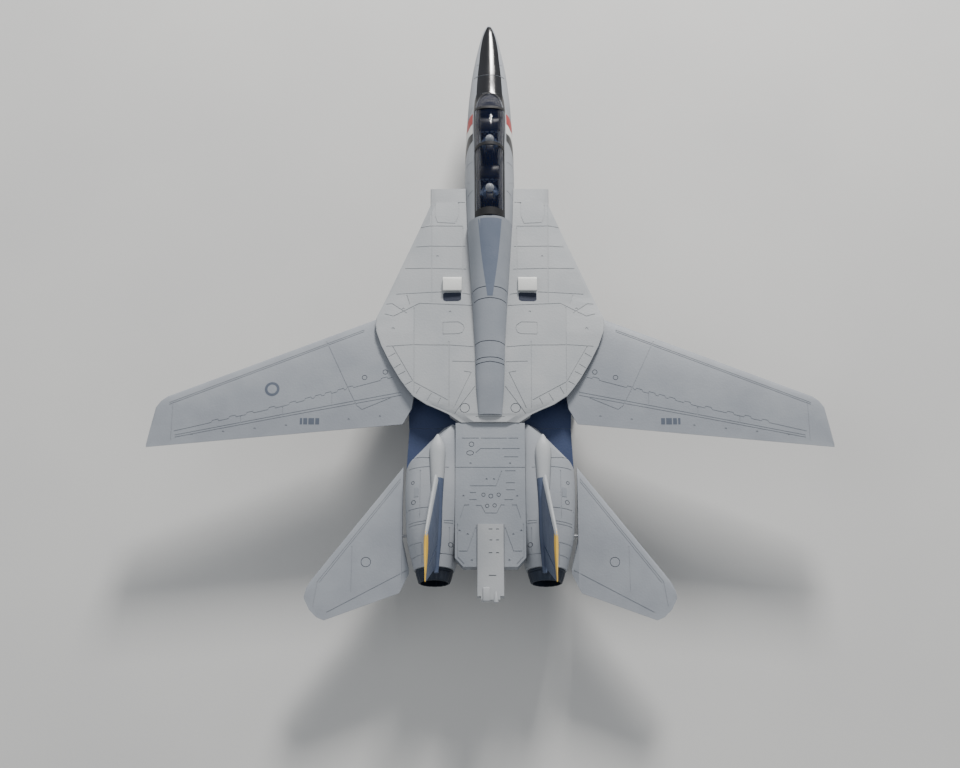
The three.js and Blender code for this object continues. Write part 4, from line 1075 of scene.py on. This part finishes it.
def build_nacelles():
    for name, sign in SIDES:
        outside = loft(spread(FAIRING_END + GAP, NACELLE_END, 4), nacelle_ring)
        passage = loft(spread(525, 564, 12) + spread(565, 585, 2) + spread(590, 700, 6, 616, 634),
                       passage_ring)
        pocket = block(80.4, 89.4, 641, 663, -27, -13)
        shaft_hole = bar(at(80, SHAFT_AFT, SHAFT_H), at(99, SHAFT_AFT, SHAFT_H), 2.2)
        shoulder = skin([[at(x, aft, BAY_FLOOR + 1.5), at(x - 8, aft + 9, 14), at(x - 8, aft + 9, 30),
                          at(x + 40, aft - 45, 30), at(x + 40, aft - 45, BAY_FLOOR + 1.5)]
                         for x, aft in ((38, 519), (110, 587))])
        body = cut(outside, passage, bay_solid(), shoulder, plate(deck_outline(GAP), -6 - GAP, 30),
                   fin_foot(GAP), pocket, shaft_hole)
        lines = [[(64, 572.5), (88, 571)], [(66, 582.5), (92, 584)], [(67, 628.5), (91, 630)],
                 [(40, 642.5), (50, 643)], [(40, 645.2), (50, 645.6)], [(64, 643), (88, 645)],
                 [(64, 646), (88, 648)], [(73, 666.5), (88, 667.5)],
                 [(39, 678.5), (56, 678.5), (70, 679), (84, 681)], [(45, 583), (49, 583)],
                 [(76, 586), (76, 640)], [(44, 650), (44, 676)], [(73, 668), (73, 690)]]
        body = engrave(body, lines, width=0.85, depth=0.5)
        body = engrave(body, [], width=0.7, depth=0.4, loops=[ring_line((42.5, 668.5), 2.4),
                                                              ring_line((83, 622), 2.2),
                                                              ring_line((84, 600), 1.6)])
        body = on_side(body, sign)
        over = probe_from(body, "down")
        piece(body, f"engine_nacelle_{name}", "airframe", [NACELLE_GREY, SEAM], "foam_grey",
              f"nacelle_{name}")
        pairs = [((sign * 77.5, s), (sign * 82.5, s)) for s in spread(606, 616, 3)]
        piece(band(over, pairs, -0.3, 0.35, 3), f"nacelle_hatch_{name}", "airframe", DECK_GREY, "foam_grey")

        centre = at(sign * ENGINE_X, NACELLE_END + GAP, ENGINE_H)

        def ripple(angle, along):
            share = min(max((-along - 2.5) / 9, 0), 1)
            return 1 - 0.045 * share * (0.5 + 0.5 * math.cos(NOZZLE_PETALS * angle)) ** 6

        wall = [(18.4, 0), (20.6, 0), (20.4, -1.6), (19.7, -2.2), (19.7, -2.8), (20, -3.4), (19, -7),
                (17.8, -11), (17, -12.7), (16, -13.2), (15.2, -13.2), (16.4, -10), (17.6, -3)]
        piece(turned(wall, "y", centre, 112, ripple), f"thrust_nozzle_{name}", "airframe", NOZZLE,
              "nozzle_dark", f"nozzle_{name}", angle=40)

        front = at(sign * ENGINE_X, 586, ENGINE_H)
        rim = turned([(21, -.4), (21.6, 0), (23.6, 0), (24, -.4), (24, -27), (21, -27)], "y", front, 72)
        bell = turned([(8.6, -13), (10, -13), (10, -27), (8.6, -27)], "y", front, 48)
        vanes = []
        for i in range(4):
            a = math.radians(45 + 90 * i)

            def tip(r, aft):
                return at(sign * ENGINE_X + r * math.cos(a), aft, ENGINE_H + r * math.sin(a))

            vanes.append(skin([[tip(r, 601.4), tip(r, 603) + side, tip(r, 607) + side * 0.8, tip(r, 610.6),
                                tip(r, 607) - side * 0.8, tip(r, 603) - side] for r in (9.2, 21.6)
                               for side in [Vector((-math.sin(a), 0, math.cos(a))) * 1.5 * MM]]))
        piece(together(rim, bell, *vanes), f"fan_shroud_{name}", "airframe", PLASTIC, "black_plastic",
              f"fan_housing_{name}")
        motor = turned([(0, 0), (7, 0), (8, -.5), (8.3, -1.5), (8.3, -6), (8, -6.4), (8.3, -6.8), (8.3, -24),
                        (7.4, -26), (6, -27), (0, -27)], "y", at(sign * ENGINE_X, 600, ENGINE_H), 48)
        piece(motor, f"brushless_motor_{name}", "airframe", MOTOR, "motor_case", f"fan_motor_{name}")
        hub_at = at(sign * ENGINE_X, 590, ENGINE_H)
        hub = turned([(0, 8), (2, 7.5), (3.9, 6.2), (5.4, 4.4), (6.9, 1.8), (8, -.6), (8.4, -2), (8.4, -9.5),
                      (0, -9.5)], "y", hub_at, 48)
        blades = []
        for i in range(FAN_BLADES):
            a = math.radians(60 * i)
            out = Vector((math.sin(a), 0, math.cos(a)))
            turn = Vector((math.cos(a), 0, -math.sin(a)))
            rings = []
            for k in range(BLADE_STEPS + 1):
                r = BLADE_ROOT + (BLADE_TIP - BLADE_ROOT) * k / BLADE_STEPS
                twist = math.radians(56 - 22 * k / BLADE_STEPS)
                chord = 9.0 + 1.2 * math.sin(math.pi * k / BLADE_STEPS)
                way = turn * math.cos(twist) * -1 + Vector((0, math.sin(twist), 0))
                thick = turn * math.sin(twist) + Vector((0, math.cos(twist), 0))
                mid = at(sign * ENGINE_X, 593, ENGINE_H) + out * r * MM
                rings.append([mid + way * (u * chord * 0.82 * MM) + thick * (t * 1.3 * MM)
                              for u, t in BLADE_SECTION])
            blades.append(skin(rings))
        piece(together(hub, *blades), f"fan_impeller_{name}", f"fan_rotor_{name}", PLASTIC, "black_plastic",
              f"fan_rotor_{name}")


# ---- Rear deck and boom ----
def boom(grow):
    low_at = ramp([(693, -6.5), (729, 0)])

    def section(aft):
        half, top, low = 14.4 + grow, 11 + grow, low_at(aft) - grow
        return [(-half, low), (half, low), (half, top - 1.6), (half - .5, top - .5), (half - 1.6, top),
                (1.6 - half, top), (.5 - half, top - .5), (-half, top - 1.6)]

    return loft(spread(647 - grow, 729, 6, 693), section)


def build_deck():
    deck = cut(plate(deck_outline(0), -6, 8), *bays(), boom(GAP))
    lines = [[(-31, 549), (-12.5, 549)], [(-10, 549), (18, 549)], [(20, 549), (30.5, 549)],
             [(-16, 566), (-10.5, 561), (11, 561)], [(13, 561), (32, 561)], [(15, 570.5), (30.5, 570.5)],
             [(-37.8, 582.5), (37.8, 582.5)], [(-22, 603.5), (6.5, 603.5), (12.5, 586.5)],
             [(16, 586.5), (27.5, 586.5)], [(17, 600), (26.5, 600)], [(17, 608), (26.5, 608)],
             [(-22, 611), (-15.5, 611)], [(-23, 619), (-15, 619)], [(15, 619), (24.5, 619)],
             [(-15.5, 625.5), (-10, 625.5), (-5.5, 634), (7, 634), (11.5, 625), (15.5, 625)]]
    for sign in (1, -1):
        lines += [[(sign * x, aft) for x, aft in path]
                  for path in ([(23, 625), (28, 625), (32.5, 640)], [(33.5, 676), (24.5, 676), (15.6, 650)],
                               [(35.4, 646), (35.4, 682), (28, 690)])]
    deck = engrave(deck, lines, width=0.85, depth=0.5)
    rings = [ring_line((-20.5, 556), 2.6), ring_line((-22, 566), 3.8, 0.66), ring_line((0.5, 615), 2.2),
             ring_line((-7.5, 613.5), 1.9), ring_line((9, 613.5), 1.9), ring_line((-3.5, 626), 1.9),
             ring_line((4.5, 625.5), 1.9)]
    deck = engrave(deck, [], width=0.7, depth=0.4, loops=rings)
    over = probe_from(deck, "down")
    for x, aft in ((-29, 615), (-33, 653.5), (-24.5, 657.5), (-20, 686), (-21.5, 578), (-4, 596)):
        for sign in (1, -1):
            deck = cut(deck, disc(over, (sign * x, aft), 1.1, -0.6, 1.0))
    piece(deck, "engine_deck", "airframe", [DECK_GREY, SEAM], "foam_grey", "rear_deck")

    body = cut(boom(0), block(10, 20, 725, 735, -20, 20), block(-20, -10, 725, 735, -20, 20))
    slots = [[(-2, 652.5), (2, 652.5)], [(6, 652.5), (9, 652.5)], [(-1, 664.5), (2, 664.5)],
             [(6, 664.5), (9, 664.5)], [(-2, 678.5), (2, 678.5)], [(6, 678.5), (9, 678.5)],
             [(-2, 703), (6, 703)]]
    body = engrave(body, slots, width=0.9, depth=0.5)
    piece(body, "tail_boom_beam", "airframe", [LIT_PALE_GREY, SEAM], "foam_pale", "tail_boom")
    tail_plate = bevelled(block(-8.2, -0.8, 716, 731, 10.5, 13), 0.9)
    piece(tail_plate, "tail_beacon_plate", "airframe", LIT_PALE_GREY, "foam_pale")
    mast = turned([(0.05, 6), (.5, 5.2), (1.7, 1), (2.6, -5), (2.6, -6.2), (2.3, -6.5), (0.05, -6.5)], "y",
                  at(5.6, 726, 12), 32)
    piece(mast, "tail_mast", "airframe", LIT_PALE_GREY, "foam_pale")


# ---- Wings and their sweep drive ----
def half_thickness(u):
    return 5 * (.2969 * math.sqrt(u) - .126 * u - .3516 * u ** 2 + .2843 * u ** 3 - .1 * u ** 4)


def aerofoil(stations, upright=False):
    """Wing-like solid through stations (x, leading, trailing, h, thickness), thick along x if upright."""
    count = 22
    shares = [(i / count) ** 1.7 for i in range(count + 1)]
    rings = []
    for x, le, te, h, thickness in stations:
        ring = []
        for side, order in ((1, shares), (-1, list(reversed(shares)))):
            for u in order:
                least = 0.35 * min(1, math.sqrt(u / 0.004)) if u < 0.004 else 0.35
                off = side * max(half_thickness(u) * thickness, least, 0.05)
                aft = le + (te - le) * u
                ring.append(at(x + off, aft, h) if upright else at(x, aft, h + off))
        rings.append(ring)
    return skin(rings)


WING_THICKNESS = ramp([(60, 12), (129, 12), (358.7, 5.2), (371, 3.6), (HALF_SPAN, 1.4)])


def along(offset, x0, x1):
    """Line parallel to the wing's leading edge, some distance behind it."""
    return [(x0, LEADING(x0) + offset), (x1, LEADING(x1) + offset)]


def notched(start, stop, places):
    """Straight panel line with a small step forward at each of some places across the span."""
    slope = (stop[1] - start[1]) / (stop[0] - start[0])
    path = [start]
    for x in places:
        for offset, forward in ((-4, 0), (-3, 2.2), (3, 2.2), (4, 0)):
            path.append((x + offset, start[1] + slope * (x + offset - start[0]) - forward))
    return path + [stop]


def build_wings():
    pin = arc(PIVOT, 20, -60, -60, 1)[0]
    for name, sign in SIDES:
        panel = aerofoil([(x, LEADING(x), TRAILING(x), 0, WING_THICKNESS(x))
                          for x in spread(60, HALF_SPAN, 12, 129, 358.7, 366, 368.5, 371, 373, 375, 376.8)])
        outline = arc(PIVOT, ROOT_RADIUS, -60, -180, 36) + [ROOT_CORNER, TRAILING_CORNER]
        outline += [(TRAILING_CORNER[0], 600), (400, 600), (400, 380), (135, 380)]
        wing = common(panel, plate(outline, -12, 12))
        wing = cut(wing, bar(at(*PIVOT, -20), at(*PIVOT, 20), 3))
        lines = [along(9.5, 142, 356), along(11.7, 142, 356),
                 notched((108, 476), (230, 510), (118, 156, 166, 180, 191, 202, 219)),
                 notched((230, 510), (349, 538.5), (242, 266, 285, 304)),
                 [(99, 493.5), (240, 521.4), (347.5, 543)], [(99, 497), (240, 524), (347.5, 545.4)],
                 [(184.5, 432), (158, 489.5), (148, 509), (142, 513.5), (108, 499)],
                 [(352, 505), (352, 549)], [(230, 511), (230, 522)], [(276, 521.5), (276, 528.6)],
                 [(176, 495), (176, 508)]]
        wing = engrave(wing, lines, width=0.85, depth=0.4)
        wing = engrave(wing, [], width=0.7, depth=0.35,
                       loops=[ring_line((117, 470), 2.6), ring_line((140, 476.5), 2.6)])
        over = probe_from(wing, "down")
        for i in range(7):
            x = 122 + i * 34.5
            wing = cut(wing, disc(over, (x, TRAILING(x) - 11 + i * 0.3), 1.2, -0.45, 1.0))
        boss = bar(at(*pin, -8.4), at(*pin, -2), 3.2)
        peg = bar(at(*pin, -11.2), at(*pin, -2), 1.3)
        for part in (boss, peg):
            part.data.materials.append(None)
            part.data.materials.append(None)
        wing = join(wing, boss, peg)
        body = f"wing_{name}"
        wing = on_side(wing, sign)
        over = probe_from(wing, "down")
        piece(wing, f"wing_panel_{name}", body, [WING_GREY, SEAM], "foam_grey", f"wing_{name}")
        for i, (start, stop) in enumerate(((189, 193.4), (194.6, 201), (202.2, 206.6), (207.8, 210.4))):
            pairs = [((sign * start, aft), (sign * stop, aft)) for aft in (523.4, 530.6)]
            piece(band(over, pairs, -0.25, 0.09, 2), f"wing_mark_block_{i}_{name}", body, DARK_MARK,
                  "marking_dark")
        if sign < 0:
            piece(disc(over, (-242.5, 490), 8.2, -0.25, 0.08), "wing_roundel_disc", body, DARK_MARK,
                  "marking_dark")
            piece(disc(over, (-242.5, 490), 5.2, -0.25, 0.14), "wing_roundel_centre", body, WING_GREY,
                  "marking_dark")


# ---- Tail ----
FIN_LEADING = ramp([(10, 586), (98, 679)])
FIN_TRAILING = ramp([(10, 694), (98, 731)])
FIN_HINGE = ramp([(20, 675), (84, 713)])
FIN_X = ramp([(10, 58.3), (98, 66)])
CAP_LOW = 93.5


def fin_at(h, grow=0.0):
    rounding = 3 * max(0, (h - 95) / 3) ** 2
    return (FIN_X(h), FIN_LEADING(h) + rounding - grow, FIN_TRAILING(h) - rounding * 0.5, h,
            ramp([(10, 9), (94, 4.4), (98, 2)])(h) + 2 * grow)


def whole_fin():
    return aerofoil([fin_at(h) for h in spread(10, 98, 6, 94, 96, 97)], True)


def build_tail():
    room = [(FIN_HINGE(20), 20), (760, 20), (760, 84), (FIN_HINGE(84), 84)]
    gap = [(FIN_HINGE(20) - 3.3, 18.8), (760, 18.8), (760, 85.6), (FIN_HINGE(84) - 0.9, 85.6)]
    for name, sign in SIDES:
        body = whole_fin()
        body = cut(body, side_slab(gap, 30, 90),
                   side_slab([(500, CAP_LOW), (800, CAP_LOW), (800, 120), (500, 120)], 30, 90))
        for direction in ("right", "left"):
            marks = [[(FIN_LEADING(h) + 8, h) for h in (22, 50, 84)],
                     [(FIN_LEADING(34) + 8, 34), (FIN_HINGE(34) - 4, 34)],
                     [(FIN_LEADING(62) + 8, 62), (FIN_HINGE(62) - 4, 62)]]
            body = engrave(body, marks, 0.8, 0.4, direction)
        foot = fin_foot(0)
        # Faces of the root fairing aft and inboard get the painted shade blue of the fin faces.
        for face in foot.data.polygons:
            behind = (at(0, 597, 0).y - face.center.y) / MM
            if behind > 0 and face.center.x < (FOOT_X + behind * 0.03) * MM:
                face.material_index = 1
        piece(on_side(body, sign), f"tail_fin_{name}", "airframe", [FIN_SHADE_BLUE, SEAM], "foam_grey",
              f"fin_{name}")
        piece(on_side(foot, sign), f"fin_root_fairing_{name}", "airframe", [LIT_PALE_GREY, FIN_SHADE_BLUE], "foam_grey")
        # Pale strip over the fin's leading edge: painted light where light falls on the edge.
        front = aerofoil([fin_at(h, 0.16) for h in spread(12, 97.6, 6, 94, 96)], True)
        front = common(front, side_slab([(FIN_LEADING(10) - 9, 10), (FIN_LEADING(10) + 6, 10),
                                         (FIN_LEADING(98) + 5, 98), (FIN_LEADING(98) - 9, 98)], 30, 90))
        piece(on_side(front, sign), f"fin_leading_edge_{name}", "airframe", LIT_PALE_GREY, "foam_pale")
        cap = aerofoil([fin_at(h, 0.04) for h in spread(CAP_LOW, 98, 1.5, 96, 97)], True)
        piece(on_side(cap, sign), f"fin_cap_{name}", "airframe", YELLOW, "foam_grey")
        rudder = common(whole_fin(), side_slab(room, 30, 90))
        for direction in ("right", "left"):
            rudder = engrave(rudder, [[(FIN_HINGE(40) + 3, 40), (FIN_TRAILING(40) - 3, 40)],
                                      [(FIN_HINGE(64) + 3, 64), (FIN_TRAILING(64) - 3, 64)]], 0.7, 0.3,
                             direction)
        piece(on_side(rudder, sign), f"rudder_panel_{name}", f"rudder_{name}", [FIN_SHADE_BLUE, SEAM], "foam_grey",
              f"rudder_{name}")

        leading = ramp([(88, 688), (95.4, 655), (96, 573.5), (193.5, 701.5), (198, 710), (200, 718)])
        trailing = ramp([(88, 694), (98, 715), (178, 744.5), (186, 741), (194, 733), (200, 721)])
        thickness = ramp([(88, 2), (95.4, 6.5), (96, 8), (186, 3.4), (200, 1.2)])
        stab = aerofoil([(x, leading(x), trailing(x), SHAFT_H, thickness(x))
                         for x in spread(88, 200, 8, 95.4, 96, 98, 178, 186, 190, 194, 196, 198, 199)])
        stab = cut(stab, bar(at(80, SHAFT_AFT, SHAFT_H), at(141, SHAFT_AFT, SHAFT_H), 1.85))
        lines = [[(99, 588), (186, 703)], [(99, 591.4), (184, 704)], [(90, 690.5), (175, 736)],
                 [(150, 664), (150, 714)], [(186, 703), (190, 730)]]
        stab = engrave(stab, lines, 0.85, 0.4)
        stab = engrave(stab, [], 0.7, 0.35, loops=[ring_line((134.5, 681.5), 5.2)])
        piece(on_side(stab, sign), f"tailplane_panel_{name}", f"stab_{name}", [WING_GREY, SEAM], "foam_grey",
              f"stab_{name}")

        rings = []
        for x, h, half, start, stop in ((60.5, -45, 3, 600, 664), (62, -53, 2.2, 611, 662),
                                        (63.5, -61, 1.4, 622, 660)):
            ring = [(x, start), (x + half * .5, start + 4), (x + half, start + 12), (x + half, stop - 8),
                    (x + half * .3, stop - 1), (x, stop), (x - half * .3, stop - 1), (x - half, stop - 8),
                    (x - half, start + 12), (x - half * .5, start + 4)]
            rings.append([at(px, aft, h) for px, aft in ring])
        wall = loft(spread(590, 672, 8), lambda aft: [(x, h - GAP) for x, h in nacelle_ring(aft)])
        ventral = cut(skin(rings), wall)
        piece(on_side(ventral, sign), f"ventral_strake_{name}", "airframe", UNDER_GREY, "foam_grey",
              f"ventral_fin_{name}")


# ---- Landing gear ----
def wheel(name, body, radius, width, centre, bore, *stands_for):
    half = width / 2
    profile = [(radius * .6, -half + .9), (radius * .64, -half + .2), (radius * .82, -half),
               (radius * .93, -half * .82), (radius * .985, -half * .55), (radius, -half * .2)]
    groove = [(radius, -half * .16), (radius * .965, -half * .12), (radius * .965, half * .12),
              (radius, half * .16)]
    outer = profile + groove + [(r, -t) for r, t in reversed(profile)]
    outer += [(radius * .6, half - 1.6), (radius * .6, -half + 1.6)]
    tyre = turned(outer, "x", centre, 80)
    piece(tyre, f"{name}_tyre", body, TYRE, "tyre", *stands_for)
    hub = turned([(bore, -half), (radius * .3, -half), (radius * .34, -half + .9),
                  (radius * .5, -half + 1.3), (radius * .58, -half + .5), (radius * .61, -half + .8),
                  (radius * .61, half - .8), (radius * .58, half - .5), (radius * .5, half - 1.3),
                  (radius * .34, half - .9), (radius * .3, half), (bore, half)], "x", centre, 64)
    holes = []
    for i in range(5):
        a = 2 * math.pi * i / 5
        out = Vector((0, math.cos(a), math.sin(a))) * radius * 0.43 * MM
        side = Vector((width * MM, 0, 0))
        holes.append(bar(centre + out - side, centre + out + side, radius * 0.085, 20))
    piece(cut(hub, *holes), f"{name}_hub", body, HUB, "wheel_hub")


MAIN_X, MAIN_AFT, LEG_AFT = 97.5, 470, 160


def build_gear():
    ground = -WING_Z
    hub_h = ground + 11
    centre = at(0, 164, hub_h)
    side = 4.2
    leg = join(bar(at(0, LEG_AFT, -39.6), at(0, LEG_AFT, hub_h + 15), 2.4),
               bar(at(0, LEG_AFT, -42), at(0, LEG_AFT, -39.4), 4.6),
               bar(at(0, LEG_AFT, -58), at(0, LEG_AFT, hub_h + 13.5), 3.0),
               bevelled(block(-side - 1, side + 1, 157.6, 165, hub_h + 12.5, hub_h + 15.5), 0.6),
               bevelled(block(-side - .9, -side + .9, 161.4, 166.4, hub_h - 2.4, hub_h + 13), 0.5),
               bevelled(block(side - .9, side + .9, 161.4, 166.4, hub_h - 2.4, hub_h + 13), 0.5),
               bar(centre - Vector(((side + 1) * MM, 0, 0)), centre + Vector(((side + 1) * MM, 0, 0)), 1.2))
    piece(leg, "nose_gear_fork", "nose_leg", STEEL, "steel", "nose_strut")
    wheel("nose_wheel", "nose_wheel", 11, 6, centre, 1.6, "nose_wheel")

    main_h = ground + 15
    for name, sign in SIDES:
        inboard = MAIN_X - 4 - 2.6
        parts = [bevelled(block(68, 86, 448, 468, -48.3, -45.3), 0.8),
                 bar(at(77, 458, -47), at(inboard, MAIN_AFT, main_h), 2.5),
                 bar(at(77, 458, -48), at(80.9, 461.4, -57), 4.2, end_radius=2.7),
                 bar(at(inboard - 2.4, MAIN_AFT, main_h), at(inboard + .8, MAIN_AFT, main_h), 3.6),
                 bar(at(inboard, MAIN_AFT, main_h), at(102.5, MAIN_AFT, main_h), 1.5)]
        strut = join(*parts)
        screws = [bar(at(x, aft, -48.2), at(x, aft, -49), 1.5, 20) for x in (70.6, 83.4)
                  for aft in (450.6, 465.4)]
        strut = join(strut, *screws)
        piece(on_side(strut, sign), f"main_gear_leg_{name}", "airframe", STEEL, "steel",
              f"main_strut_{name}")
        wheel(f"main_wheel_{name}", f"main_wheel_{name}", 15, 8, at(sign * MAIN_X, MAIN_AFT, main_h), 1.9,
              f"main_wheel_{name}")


# ---- CAD nodes that are shown as they are ----
def carry(node, material, round_by, segments=3):
    obj = frame["nodes"][node]
    obj.data.materials.clear()
    obj.data.materials.append(material)
    soft_edges(obj, round_by, segments, 50)


def build_fittings():
    carry("lower_shell", BAY_GREY, 0.6, 2)
    carry("battery", WRAP, 2.0)
    lead = tube([at(-6, 150, -12), at(-6, 146, -12), at(-5, 142.5, -16), at(-4, 140.5, -18.5)], 1.1, 12)
    piece(lead, "battery_lead", "airframe", RED, "battery_wrap")
    carry("receiver", PLASTIC, 0.8)
    carry("speed_controller", PLASTIC, 0.8)
    for name, _ in SIDES:
        carry(f"stab_servo_{name}", PLASTIC, 0.6)
        carry(f"sweep_servo_{name}", PLASTIC, 0.6)
        carry(f"sweep_horn_{name}", PLASTIC, 0.25)
        carry(f"sweep_link_{name}", STEEL, 0.25)
        carry(f"wing_pivot_{name}", STEEL, 0.25)
        carry(f"stab_shaft_{name}", STEEL, 0.2)


for build in (build_front, build_hatch, build_shell, build_intakes, build_nacelles, build_deck, build_wings,
              build_tail, build_gear, build_fittings):
    build()
